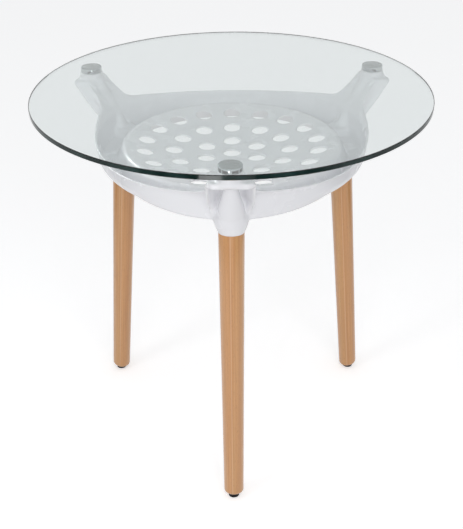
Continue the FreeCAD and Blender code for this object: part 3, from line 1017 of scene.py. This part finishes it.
def settled(rule, points, rounds=SETTLE_ROUNDS):
    """Points moved along the slope of a rule until they lie on its surface."""
    for _ in range(rounds):
        rise = slope(rule, points)
        steep = np.maximum((rise ** 2).sum(axis=1), LEAST_STEEP)
        move = np.clip(rule(points.T), -LONGEST_MOVE, LONGEST_MOVE) / steep
        points = points - rise * move[:, None]
    return points


def zero_places(rule, starts, stops, first, second):
    """Places between starts and stops where a rule is zero, by repeated straight-line guesses."""
    for _ in range(ZERO_ROUNDS):
        places = starts + (stops - starts) * (first / (first - second))[:, None]
        value = rule(places.T)
        early = (value < 0) == (first < 0)
        starts = np.where(early[:, None], places, starts)
        stops = np.where(early[:, None], stops, places)
        first = np.where(early, value, first)
        second = np.where(early, second, value)
    return places


print("rule helpers ready, longest move", LONGEST_MOVE, "m")

# %% [markdown]
# Edges of a cube that the same sheet crosses belong together. Each sheet's point goes where the flat
# pieces of surface found on those edges meet, so that it sits on the crest of a rim and not beside it.

# %% Point of one sheet
MIDDLE_PULL = 0.04


def meeting_points(places, directions, owner):
    """For each owner the point where the flat pieces of surface at its places meet."""
    uses = np.bincount(owner)
    middle = np.stack([np.bincount(owner, places[:, axis]) / uses for axis in range(3)], axis=1)
    ahead = (directions * (places - middle[owner])).sum(axis=1)
    matrix = np.empty((len(uses), 3, 3))
    pushed = np.empty((len(uses), 3, 1))
    for row in range(3):
        pushed[:, row, 0] = np.bincount(owner, directions[:, row] * ahead)
        for column in range(3):
            matrix[:, row, column] = np.bincount(owner, directions[:, row] * directions[:, column])
    matrix += MIDDLE_PULL * uses[:, None, None] * np.eye(3)
    return middle + np.linalg.solve(matrix, pushed)[:, :, 0]


print("point helper ready")

# %% Sheets in a cube
def linked(labels, crossed, rows, edges):
    """Give the crossed edges of some cubes that belong to one sheet the lowest of their labels."""
    part = labels[np.ix_(rows, edges)]
    cut = crossed[np.ix_(rows, edges)]
    lowest = np.where(cut, part, len(CUBE_EDGES)).min(axis=1, initial=len(CUBE_EDGES))
    labels[np.ix_(rows, edges)] = np.where(cut, lowest[:, None], part)


def sheets_in_cubes(crossed, inside):
    """Label for every crossed edge of every cube: edges of one sheet carry the same label."""
    labels = np.tile(np.arange(len(CUBE_EDGES)), (len(crossed), 1))
    for _ in range(len(CUBE_FACES)):
        for first_corner, (one, two, three, four) in CUBE_FACES:
            count = crossed[:, [one, two, three, four]].sum(axis=1)
            starts_inside = inside[:, CORNERS.index(first_corner)]
            around_first = (count == 4) & ~starts_inside
            around_second = (count == 4) & starts_inside
            linked(labels, crossed, count == 2, [one, two, three, four])
            linked(labels, crossed, around_first, [four, one])
            linked(labels, crossed, around_first, [two, three])
            linked(labels, crossed, around_second, [one, two])
            linked(labels, crossed, around_second, [three, four])
    return labels


print("sheet helpers ready")

# %% [markdown]
# Wherever the rule changes sign along an edge of the grid, the four cubes round that edge each hold a
# point of the same sheet, and those four points make a quad.

# %% Quads of the net
def quads_round_edges(inside, cube_number, point_number):
    """Quads of the net, one round each grid edge whose ends lie on different sides of the surface."""
    quads = []
    for axis in range(3):
        across = (axis + 1) % 3
        beyond = (axis + 2) % 3
        near = [slice(1, -1)] * 3
        far = [slice(1, -1)] * 3
        near[axis] = slice(0, -1)
        far[axis] = slice(1, None)
        change = inside[tuple(near)].astype(np.int8) - inside[tuple(far)]
        for sign in (1, -1):
            places = np.argwhere(change == sign)
            places[:, across] += 1
            places[:, beyond] += 1
            ring = []
            for back_across, back_beyond in ((1, 1), (0, 1), (0, 0), (1, 0)):
                cube = places.copy()
                cube[:, across] -= back_across
                cube[:, beyond] -= back_beyond
                corner = [0, 0, 0]
                corner[across] = back_across
                corner[beyond] = back_beyond
                end = list(corner)
                end[axis] = 1
                edge = edge_between(tuple(corner), tuple(end))
                ring.append(point_number[cube_number[tuple(cube.T)], edge])
            quads.append(np.stack(ring if sign == 1 else ring[::-1], axis=1))
    return np.concatenate(quads)


print("quad helper ready")

# %% Points of the net
def surface_net(rule, low, high, step):
    """Points and quads of the surface where a rule changes sign inside a box."""
    axes = [np.arange(low[axis], high[axis] + step, step) for axis in range(3)]
    field = sampled(rule, axes)
    inside = field < 0
    cube_counts = [count - 1 for count in field.shape]
    full = np.zeros(cube_counts, np.uint8)
    for corner in CORNERS:
        full += inside[tuple(slice(shift, shift + count) for shift, count in zip(corner, cube_counts))]
    cubes = np.argwhere((full > 0) & (full < len(CORNERS)))
    cube_number = np.full(cube_counts, -1, np.int32)
    cube_number[tuple(cubes.T)] = np.arange(len(cubes))
    values = np.stack([field[tuple((cubes + corner).T)] for corner in CORNERS], axis=1).astype(float)
    ends = np.array([(CORNERS.index(first), CORNERS.index(second)) for first, second in CUBE_EDGES])
    one = values[:, ends[:, 0]]
    two = values[:, ends[:, 1]]
    crossed = (one < 0) != (two < 0)
    labels = sheets_in_cubes(crossed, values < 0)
    cube_rows, edge_rows = np.nonzero(crossed)
    keys = cube_rows * len(CUBE_EDGES) + labels[cube_rows, edge_rows]
    names, point_of = np.unique(keys, return_inverse=True)
    point_number = np.full(crossed.shape, -1, np.int64)
    point_number[cube_rows, edge_rows] = point_of
    corner_array = np.array(CORNERS)
    starts = np.array(low) + (cubes[cube_rows] + corner_array[ends[edge_rows, 0]]) * step
    stops = np.array(low) + (cubes[cube_rows] + corner_array[ends[edge_rows, 1]]) * step
    spots = zero_places(rule, starts, stops, one[crossed], two[crossed])
    points = meeting_points(spots, facing_out(rule, spots), point_of)
    cube_low = np.array(low) + cubes[names // len(CUBE_EDGES)] * step
    points = np.clip(points, cube_low, cube_low + step)
    return points, quads_round_edges(inside, cube_number, point_number)


print("net helper ready")

# %% Draw the tray
NET_STEP = 0.0039
NET_MARGIN = 0.006
tray_low, tray_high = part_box("tray_frame")
net_low = [value - NET_MARGIN for value in tray_low]
net_high = [value + NET_MARGIN for value in tray_high]
net_points, net_quads = surface_net(moulding, net_low, net_high, NET_STEP)
print("surface net", len(net_points), "points", len(net_quads), "quads")

# %% [markdown]
# Points from cubes are unevenly spaced, which shows as ripples in a glossy surface. They are evened out
# among their neighbours, and only those on a crest stay where they are.

# %% Even out the net
FLAT_ENOUGH = math.cos(math.radians(25))
EVEN_ROUNDS = 3
EVEN_SETTLE = 2


def relaxed(rule, points, quads):
    """Points evened out among their neighbours on the surface of a rule, except those on crests."""
    edges = np.concatenate([quads[:, [corner, (corner + 1) % 4]] for corner in range(4)])
    counts = np.bincount(edges.ravel(), minlength=len(points))[:, None]
    directions = facing_out(rule, points)
    turn = (directions[edges[:, 0]] * directions[edges[:, 1]]).sum(axis=1)
    flat = np.ones(len(points), bool)
    flat[edges[turn < FLAT_ENOUGH].ravel()] = False
    for _ in range(EVEN_ROUNDS):
        total = np.zeros_like(points)
        for axis in range(3):
            for here, there in ((0, 1), (1, 0)):
                total[:, axis] += np.bincount(edges[:, here], points[edges[:, there], axis], len(points))
        moved = settled(rule, (points + total / counts) / 2, EVEN_SETTLE)
        points = np.where(flat[:, None], moved, points)
    return points


net_points = relaxed(moulding, settled(moulding, net_points), net_quads)
print("furthest point from the surface", round(float(np.abs(moulding(net_points.T)).max()), 6))

# %% [markdown]
# Rims and small edges turn within a few millimetres, and the net is too coarse there. Edges of the net
# whose ends face very different ways are split in the middle, and the new points are settled on the rule
# again.

# %% Piece: tray before its holes
BENT = math.cos(math.radians(31))
SPLIT_ROUNDS = 2


def split_bent_edges(rule, mesh):
    """Split the edges of a mesh that bend round a rule's surface, and settle the points."""
    work = bmesh.new()
    work.from_mesh(mesh)
    work.verts.index_update()
    directions = facing_out(rule, np.array([vertex.co[:] for vertex in work.verts]))
    ends = np.array([[vertex.index for vertex in edge.verts] for edge in work.edges])
    turn = (directions[ends[:, 0]] * directions[ends[:, 1]]).sum(axis=1)
    bent = [edge for edge, cosine in zip(work.edges, turn) if cosine < BENT]
    bmesh.ops.subdivide_edges(work, edges=bent, cuts=1, use_grid_fill=True)
    places = settled(rule, np.array([vertex.co[:] for vertex in work.verts]))
    for vertex, spot in zip(work.verts, places):
        vertex.co = spot
    loose = sum(not edge.is_manifold for edge in work.edges)
    print("split", len(bent), "edges, faces now", len(work.faces), "open edges", loose)
    work.to_mesh(mesh)
    work.free()


tray = new_piece("moulded_tray", net_points, net_quads, white_plastic)
for _ in range(SPLIT_ROUNDS):
    split_bent_edges(moulding, tray.data)

# %% [markdown]
# ## Perforations
# The dish has one hole in the middle and rings of six, twelve and eighteen about it. That is a rule, so a
# geometry node tree makes it: a cutter is placed on every point of the pattern, square to the hollow of
# the dish, and a boolean node takes the cutters away. A moulded hole has no sharp rim, so the cutter
# widens at both ends.

# %% Cutter with eased rims
HOLE_RADIUS = 0.0172
HOLE_EASE = 0.0018
CUTTER_REACH = 0.003
CUTTER_SEGMENTS = 40
EASE_STEPS = 3
wide = HOLE_RADIUS + HOLE_EASE
cutter_outline = [(0.0, -WALL - CUTTER_REACH), (wide, -WALL - CUTTER_REACH)]
for index in range(EASE_STEPS + 1):
    angle = math.radians(90 * index / EASE_STEPS)
    radius = wide - HOLE_EASE * math.sin(angle)
    cutter_outline.append((radius, -WALL + HOLE_EASE * (1 - math.cos(angle))))
for index in range(EASE_STEPS + 1):
    angle = math.radians(90 * (EASE_STEPS - index) / EASE_STEPS)
    radius = wide - HOLE_EASE * math.sin(angle)
    cutter_outline.append((radius, -HOLE_EASE * (1 - math.cos(angle))))
cutter_outline += [(wide, CUTTER_REACH), (0.0, CUTTER_REACH)]
cutter = new_piece("hole_cutter", *turned(cutter_outline, CUTTER_SEGMENTS), white_plastic)
print("cutter points", len(cutter.data.vertices))

# %% [markdown]
# Every geometry tree here begins with named inputs and ends in the same two nodes: one makes real
# geometry of the instances, because an instance is lost on export, and one sets the material.

# %% Open and close a geometry tree
def new_tree(name, inputs):
    """Geometry node tree with named inputs, the sockets of those inputs, and what they give."""
    tree = bpy.data.node_groups.new(name, "GeometryNodeTree")
    sockets = {}
    for label, kind in inputs:
        socket_type = "NodeSocket" + kind
        sockets[label] = tree.interface.new_socket(name=label, in_out="INPUT", socket_type=socket_type)
    tree.interface.new_socket(name="Geometry", in_out="OUTPUT", socket_type="NodeSocketGeometry")
    return tree, sockets, tree.nodes.new("NodeGroupInput").outputs


def close_tree(tree, geometry, material):
    """End a tree: real geometry in place of instances, with its material."""
    whole = node(tree, "GeometryNodeRealizeInstances", {0: geometry})
    finished = node(tree, "GeometryNodeSetMaterial", {"Geometry": whole.outputs[0], "Material": material})
    node(tree, "NodeGroupOutput", {0: finished.outputs[0]})
    print("tree", tree.name, "with", len(tree.nodes), "nodes")


print("tree helpers ready")

# %% [markdown]
# The tree of holes numbers its points. Ring k of such a pattern holds 6k points, and 3k(k - 1) + 1 points
# come before it. Solved for k, that gives the ring of point number i as the root in the tree. Each ring
# stands one pitch further out, and its points are spread evenly, starting at the back.

# %% Geometry nodes: rings of holes
PER_RING = 6.0
FIRST_TURN = 0.25
hole_inputs = [("Geometry", "Geometry"), ("Cutter", "Object"), ("Rings", "Int"), ("Pitch", "Float"),
               ("Hollow Radius", "Float"), ("Hollow Centre", "Float"), ("Material", "Material")]
holes, hole_sockets, given = new_tree("rings_of_holes", hole_inputs)


def hole_sum(operation, first, second=0.0):
    """Output of one arithmetic node in the tree of holes."""
    return calculate(holes, operation, first, second)


half_ring = PER_RING / 2
next_ring = hole_sum("ADD", given["Rings"], 1.0)
all_rings = hole_sum("MULTIPLY", hole_sum("MULTIPLY", given["Rings"], half_ring), next_ring)
number = node(holes, "GeometryNodeInputIndex").outputs[0]
under_root = hole_sum("ADD", hole_sum("MULTIPLY", number, 2 * PER_RING), half_ring ** 2)
root = hole_sum("SUBTRACT", hole_sum("SQRT", under_root), half_ring)
ring = hole_sum("CEIL", hole_sum("DIVIDE", root, PER_RING))
before = hole_sum("MULTIPLY", hole_sum("MULTIPLY", ring, half_ring), hole_sum("SUBTRACT", ring, 1.0))
step_in_ring = hole_sum("SUBTRACT", hole_sum("SUBTRACT", number, before), 1.0)
turn_share = hole_sum("DIVIDE", step_in_ring, hole_sum("MULTIPLY", ring, PER_RING))
angle = hole_sum("MULTIPLY", hole_sum("ADD", turn_share, FIRST_TURN), 2 * math.pi)
reach = hole_sum("MULTIPLY", ring, given["Pitch"])
reach_square = hole_sum("POWER", reach, 2.0)
hollow_square = hole_sum("POWER", given["Hollow Radius"], 2.0)
deep = hole_sum("SQRT", hole_sum("SUBTRACT", hollow_square, reach_square))
spot = node(holes, "ShaderNodeCombineXYZ", {
    0: hole_sum("MULTIPLY", reach, hole_sum("COSINE", angle)),
    1: hole_sum("MULTIPLY", reach, hole_sum("SINE", angle)),
    2: hole_sum("SUBTRACT", given["Hollow Centre"], deep),
}).outputs[0]
middle = node(holes, "ShaderNodeCombineXYZ", {2: given["Hollow Centre"]}).outputs[0]
facing = node(holes, "ShaderNodeVectorMath", {0: middle, 1: spot}, operation="SUBTRACT").outputs[0]
hole_count = hole_sum("ADD", all_rings, 1.0)
spots = node(holes, "GeometryNodePoints", {"Count": hole_count, "Position": spot})
square_on = node(holes, "FunctionNodeAlignRotationToVector", {"Vector": facing}, axis="Z")
tool = node(holes, "GeometryNodeObjectInfo", {"Object": given["Cutter"]})
tools = node(holes, "GeometryNodeInstanceOnPoints", {
    "Points": spots.outputs[0], "Instance": tool.outputs["Geometry"], "Rotation": square_on.outputs[0],
})
real_tools = node(holes, "GeometryNodeRealizeInstances", {0: tools.outputs[0]})
cut = node(holes, "GeometryNodeMeshBoolean", {
    "Mesh 1": given["Geometry"], "Mesh 2": real_tools.outputs[0],
}, operation="DIFFERENCE", solver="MANIFOLD")
close_tree(holes, cut.outputs[0], given["Material"])

# %% [markdown]
# The tree runs on the tray as a modifier. Its inputs are set by the identifiers of the sockets, the
# result becomes a plain mesh, and the modifier goes.

# %% Run a tree
def run_tree(piece, tree, sockets, values):
    """Run a geometry node tree on a piece and keep the result as its plain mesh."""
    modifier = piece.modifiers.new(tree.name, "NODES")
    modifier.node_group = tree
    for label, value in values.items():
        modifier[sockets[label].identifier] = value
    depsgraph = bpy.context.evaluated_depsgraph_get()
    made = bpy.data.meshes.new_from_object(piece.evaluated_get(depsgraph))
    piece.modifiers.clear()
    piece.data = made
    smooth(piece)
    print("tree", tree.name, "made", len(made.vertices), "points")


print("tree runner ready")

# %% Cut the holes
HOLE_RINGS = 3
HOLE_PITCH = 0.059
run_tree(tray, holes, hole_sockets, {
    "Cutter": cutter, "Rings": HOLE_RINGS, "Pitch": HOLE_PITCH, "Hollow Radius": dish_sphere,
    "Hollow Centre": dish_centre, "Material": white_plastic,
})
bpy.data.objects.remove(cutter)

# %% [markdown]
# The boolean leaves long thin triangles round each hole. Their shading is taken from the rule with its
# holes, so that none of them shows. A finer mesh would help too, but would need many more triangles.

# %% Piece: perforated tray
def perforated(points):
    """Distance to the tray with its holes."""
    reach = np.hypot(points[0], points[1])
    ring_number = np.clip(np.round(reach / HOLE_PITCH), 0, HOLE_RINGS)
    spacing = 2 * math.pi / np.maximum(PER_RING * ring_number, 1)
    bearing = np.arctan2(points[1], points[0]) - 2 * math.pi * FIRST_TURN
    beside = bearing - np.round(bearing / spacing) * spacing
    beside = np.where(ring_number == 0, 0.0, beside)
    gap = np.hypot(reach * np.cos(beside) - ring_number * HOLE_PITCH, reach * np.sin(beside))
    gap = np.where(ring_number == 0, reach, gap)
    return shared(moulding(points), HOLE_RADIUS - gap, HOLE_EASE)


places = np.empty(len(tray.data.vertices) * 3, np.float32)
tray.data.vertices.foreach_get("co", places)
tray_normals = facing_out(perforated, places.reshape(-1, 3).astype(float))
tray.data.normals_split_custom_set_from_vertices(tray_normals.tolist())
hand_over(tray, "white_plastic", "tray_frame")

# %% [markdown]
# ## Pad screws and washers
# Each pad is held from below by a socket head screw with a flat washer. The screw is an outline turned
# about its axis, and the points of its drive are pulled to a hexagon. Screw and washer are the same on
# every arm, so a small geometry node tree sets one of them on each pad place. The tree is used twice.

# %% Outlines of screw and washer
SHANK_RADIUS = 0.003
HEAD_EDGE = 0.0006
DRIVE_RADIUS = 0.002
DRIVE_DEPTH = 0.002
WASHER_HOLE = 0.0032
screw_low, screw_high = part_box("pad_screw_front")
washer_low, washer_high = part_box("pad_washer_front")
head_radius = (screw_high[0] - screw_low[0]) / 2
washer_radius = (washer_high[0] - washer_low[0]) / 2
head_face = screw_low[2]
screw_outline = [
    (0.0, head_face + DRIVE_DEPTH), (DRIVE_RADIUS, head_face + DRIVE_DEPTH), (DRIVE_RADIUS, head_face),
    (head_radius - HEAD_EDGE, head_face), (head_radius, head_face + HEAD_EDGE),
    (head_radius, washer_low[2]), (SHANK_RADIUS, washer_low[2]),
    (SHANK_RADIUS, screw_high[2]), (0.0, screw_high[2]),
]
washer_outline = [
    (WASHER_HOLE, washer_low[2]), (washer_radius, washer_low[2]), (washer_radius, washer_high[2]),
    (WASHER_HOLE, washer_high[2]), (WASHER_HOLE, washer_low[2]),
]
print("screw head radius", round(head_radius, 4), "washer radius", round(washer_radius, 4))

# %% One screw and one washer
SCREW_SEGMENTS = 48
SAME_PLACE = 1e-6


def six_sided(point):
    """A point of the round drive pulled to the hexagon inside it."""
    if abs(math.hypot(point[0], point[1]) - DRIVE_RADIUS) > SAME_PLACE:
        return point
    corner = math.pi / 3
    pull = math.cos(corner / 2) / math.cos(math.atan2(point[1], point[0]) % corner - corner / 2)
    return (point[0] * pull, point[1] * pull, point[2])


screw_points, screw_faces = turned(screw_outline, SCREW_SEGMENTS)
screw_points = [six_sided(point) for point in screw_points]
one_screw = new_piece("one_screw", screw_points, screw_faces, steel_small)
one_washer = new_piece("one_washer", *turned(washer_outline, SCREW_SEGMENTS), steel_small)
work = bmesh.new()
work.from_mesh(one_washer.data)
bmesh.ops.remove_doubles(work, verts=work.verts, dist=SAME_PLACE)
bmesh.ops.recalc_face_normals(work, faces=work.faces)
work.to_mesh(one_washer.data)
work.free()
print("screw points", len(one_screw.data.vertices), "washer points", len(one_washer.data.vertices))

# %% [markdown]
# The tree takes the pad places as loose points and sets the same fastener on each of them. Three copies
# made by hand would do too, but with the tree a change of the screw or of its places is made once.

# %% Geometry nodes: one fastener on each place
fastener_inputs = [("Geometry", "Geometry"), ("Fastener", "Object"), ("Material", "Material")]
fasteners, fastener_sockets, given = new_tree("fastener_on_places", fastener_inputs)
shape = node(fasteners, "GeometryNodeObjectInfo", {"Object": given["Fastener"]})
set_out = node(fasteners, "GeometryNodeInstanceOnPoints", {
    "Points": given["Geometry"], "Instance": shape.outputs["Geometry"],
})
close_tree(fasteners, set_out.outputs[0], given["Material"])

# %% Pieces: pad screws and washers
pad_places = [arm_point(arm, pad_place) for arm in ARMS]
for one, kind in ((one_screw, "pad_screw"), (one_washer, "pad_washer")):
    piece = new_piece(kind + "s", pad_places, [], steel_small)
    run_tree(piece, fasteners, fastener_sockets, {"Fastener": one, "Material": steel_small})
    bpy.data.objects.remove(one)
    hand_over(piece, "steel_small", *[kind + "_" + arm for arm in ARMS])

# %% [markdown]
# ## Hidden pieces
# Hanger bolts, inserts and nails are real solids of the part, but they sit inside the sockets, legs and
# glides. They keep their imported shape, because nothing of them shows, and get the finish of their metal.

# %% Finishes of the small solids
SMALL = {"hanger_bolt_": steel_small, "socket_insert_": brass_insert, "glide_nail_": steel_small}
for prefix, material in SMALL.items():
    for arm in ARMS:
        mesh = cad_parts[prefix + arm].data
        mesh.materials.clear()
        mesh.materials.append(material)
print("small solids finished:", len(SMALL) * len(ARMS))

# %% [markdown]
# ## Stage, light and camera
# The photo was taken in a white studio with soft light from all sides and no visible horizon. A pale
# floor catches the faint shadow. The background is plain white where the camera, a mirror or the glass
# shows it, and a softer light for everything else. Light that falls through the glass on the tray has a
# strength between the two.

# %% Floor
FLOOR_GLOW = 0.42
FLOOR_SIZE = 12.0


def seen_directly(tree):
    """One for rays that come from the camera, from a mirror or through glass, zero for the rest."""
    path = node(tree, "ShaderNodeLightPath").outputs
    mirrored = calculate(tree, "MAXIMUM", path["Is Camera Ray"], path["Is Glossy Ray"])
    return calculate(tree, "MAXIMUM", mirrored, path["Is Transmission Ray"])


half = FLOOR_SIZE / 2
floor_mat, tree, out = new_material("studio_floor")
shader = node(tree, "ShaderNodeBsdfPrincipled", {
    "Base Color": (0.95, 0.95, 0.95, 1), "Roughness": 0.9, "Specular IOR Level": 0.0,
})
glow_strength = calculate(tree, "MULTIPLY", seen_directly(tree), FLOOR_GLOW)
glow = node(tree, "ShaderNodeEmission", {"Strength": glow_strength})
paper = node(tree, "ShaderNodeAddShader", {0: shader.outputs[0], 1: glow.outputs[0]})
tree.links.new(paper.outputs[0], out.inputs["Surface"])
floor_corners = [(-half, -half, 0), (half, -half, 0), (half, half, 0), (-half, half, 0)]
floor = new_piece("studio_floor", floor_corners, [(0, 1, 2, 3)], floor_mat)
print("floor", FLOOR_SIZE, "m wide")

# %% Background
SKY_LIGHT = 0.495
UNDER_GLASS_LIGHT = 0.8
world = bpy.data.worlds.new("studio")
bpy.context.scene.world = world
world.use_nodes = True
tree = world.node_tree
tree.nodes.clear()
light = node(tree, "ShaderNodeBackground", {"Color": (0.97, 0.98, 1.0, 1), "Strength": SKY_LIGHT})
path = node(tree, "ShaderNodeLightPath")
scattered = calculate(tree, "MINIMUM", path.outputs["Diffuse Depth"], 1.0)
white_strength = ranged(tree, scattered, 0.0, 1.0, 1.0, UNDER_GLASS_LIGHT)
white = node(tree, "ShaderNodeBackground", {"Color": (1, 1, 1, 1), "Strength": white_strength})
mix = node(tree, "ShaderNodeMixShader", {0: seen_directly(tree), 1: light.outputs[0], 2: white.outputs[0]})
node(tree, "ShaderNodeOutputWorld", {0: mix.outputs[0]})
print("sky light", SKY_LIGHT, "and under the glass", UNDER_GLASS_LIGHT)

# %% [markdown]
# A large lamp in front and a smaller one on the left model the form. Two weak lamps only put highlights
# where the photo has them: the glint on the front pad and the glass rim, and the bright brow on the left
# of the dish. The brow lamp has a grid, so that its light stays off the arms.

# %% Lamps
def soft_lamp(name, place, aim, width, height, power):
    """Rectangular soft lamp that looks at a point."""
    data = bpy.data.lights.new(name, "AREA")
    data.shape = "RECTANGLE"
    data.size = width
    data.size_y = height
    data.energy = power
    lamp = bpy.data.objects.new(name, data)
    bpy.context.scene.collection.objects.link(lamp)
    lamp.location = place
    lamp.rotation_euler = (Vector(aim) - Vector(place)).to_track_quat("-Z", "Y").to_euler()
    return lamp


BROW_SPREAD = math.radians(22)
soft_lamp("key_lamp", place=(0.4, -2.8, 1.8), aim=(0, 0, 0.5), width=2.4, height=1.4, power=28)
soft_lamp("side_lamp", place=(-2.0, -1.6, 1.6), aim=(0, 0, 0.55), width=0.8, height=1.2, power=9)
glint = soft_lamp("glint_lamp", place=(-0.134, -0.9, 0.515), aim=(0, -0.35, 0.75),
                  width=0.15, height=0.09, power=0.35)
glint.visible_diffuse = False
brow = soft_lamp("brow_lamp", place=(-1.23, 1.26, 1.67), aim=(-0.19, -0.1, 0.645),
                 width=0.5, height=0.5, power=0.45)
brow.data.spread = BROW_SPREAD
brow.visible_diffuse = False

# %% [markdown]
# Chrome only shows what stands round it. In an all white studio it would vanish, so a photographer stands
# dark cards to the left and right, with a gap in each row. The cards here are seen by mirrored rays alone
# and take no light away. They stand clear of the floor, so that the lacquered legs mirror little of them.

# %% Dark cards for the chrome
CARD_RADIUS = 0.9
CARD_FOOT = 0.16
CARD_TOP = 0.42
CARD_SPANS = ((15, 80), (95, 130))
CARD_STEPS = 6
card_mat, tree, out = new_material("dark_card")
card_inputs = {"Base Color": (0.03, 0.03, 0.03, 1), "Roughness": 0.9}
shader = node(tree, "ShaderNodeBsdfPrincipled", card_inputs)
tree.links.new(shader.outputs[0], out.inputs["Surface"])
for side_name, side in (("left", -1), ("right", 1)):
    for number, (start, end) in enumerate(CARD_SPANS):
        points = []
        faces = []
        for index in range(CARD_STEPS + 1):
            angle = math.radians(start + (end - start) * index / CARD_STEPS)
            x = side * CARD_RADIUS * math.sin(angle)
            y = -pad_place - CARD_RADIUS * math.cos(angle)
            points += [(x, y, CARD_FOOT), (x, y, CARD_TOP)]
            if index:
                faces.append((2 * index - 2, 2 * index, 2 * index + 1, 2 * index - 1))
        card = new_piece(f"dark_card_{side_name}_{number}", points, faces, card_mat)
        card.visible_camera = False
        card.visible_diffuse = False
        card.visible_transmission = False
        card.visible_shadow = False
print("cards at", CARD_RADIUS, "m from the front pad")

# %% [markdown]
# The camera was worked out from the photo: the ellipse of the glass, the pads and the feet fix where it
# stood, how far it was turned and which lens it had. It looks down on the table from the front arm's
# side.

# %% Camera
CAMERA_DISTANCE = 2.4376
CAMERA_RISE = math.radians(28.87)
CAMERA_SWING = math.radians(0.544)
CAMERA_ROLL = math.radians(-0.62)
CAMERA_LENS = 76.86
CAMERA_AIM_SIDE = -0.0030
CAMERA_AIM_HEIGHT = 0.3683
CAMERA_SENSOR = 36
level_back = Vector((math.sin(CAMERA_SWING), -math.cos(CAMERA_SWING), 0))
back = level_back * math.cos(CAMERA_RISE) + Vector((0, 0, math.sin(CAMERA_RISE)))
right = Vector((math.cos(CAMERA_SWING), math.sin(CAMERA_SWING), 0))
up = back.cross(right)
eye = right * CAMERA_AIM_SIDE + Vector((0, 0, CAMERA_AIM_HEIGHT)) + back * CAMERA_DISTANCE
right_rolled = right * math.cos(CAMERA_ROLL) + up * math.sin(CAMERA_ROLL)
up_rolled = up * math.cos(CAMERA_ROLL) - right * math.sin(CAMERA_ROLL)
camera_data = bpy.data.cameras.new("camera")
camera_data.lens = CAMERA_LENS
camera_data.sensor_width = CAMERA_SENSOR
camera = bpy.data.objects.new("camera", camera_data)
bpy.context.scene.collection.objects.link(camera)
turned_axes = Matrix((right_rolled, up_rolled, back)).transposed().to_4x4()
camera.matrix_world = Matrix.Translation(eye) @ turned_axes
bpy.context.scene.camera = camera
bpy.context.scene.view_settings.view_transform = "Standard"
print("camera at", [round(value, 3) for value in eye])
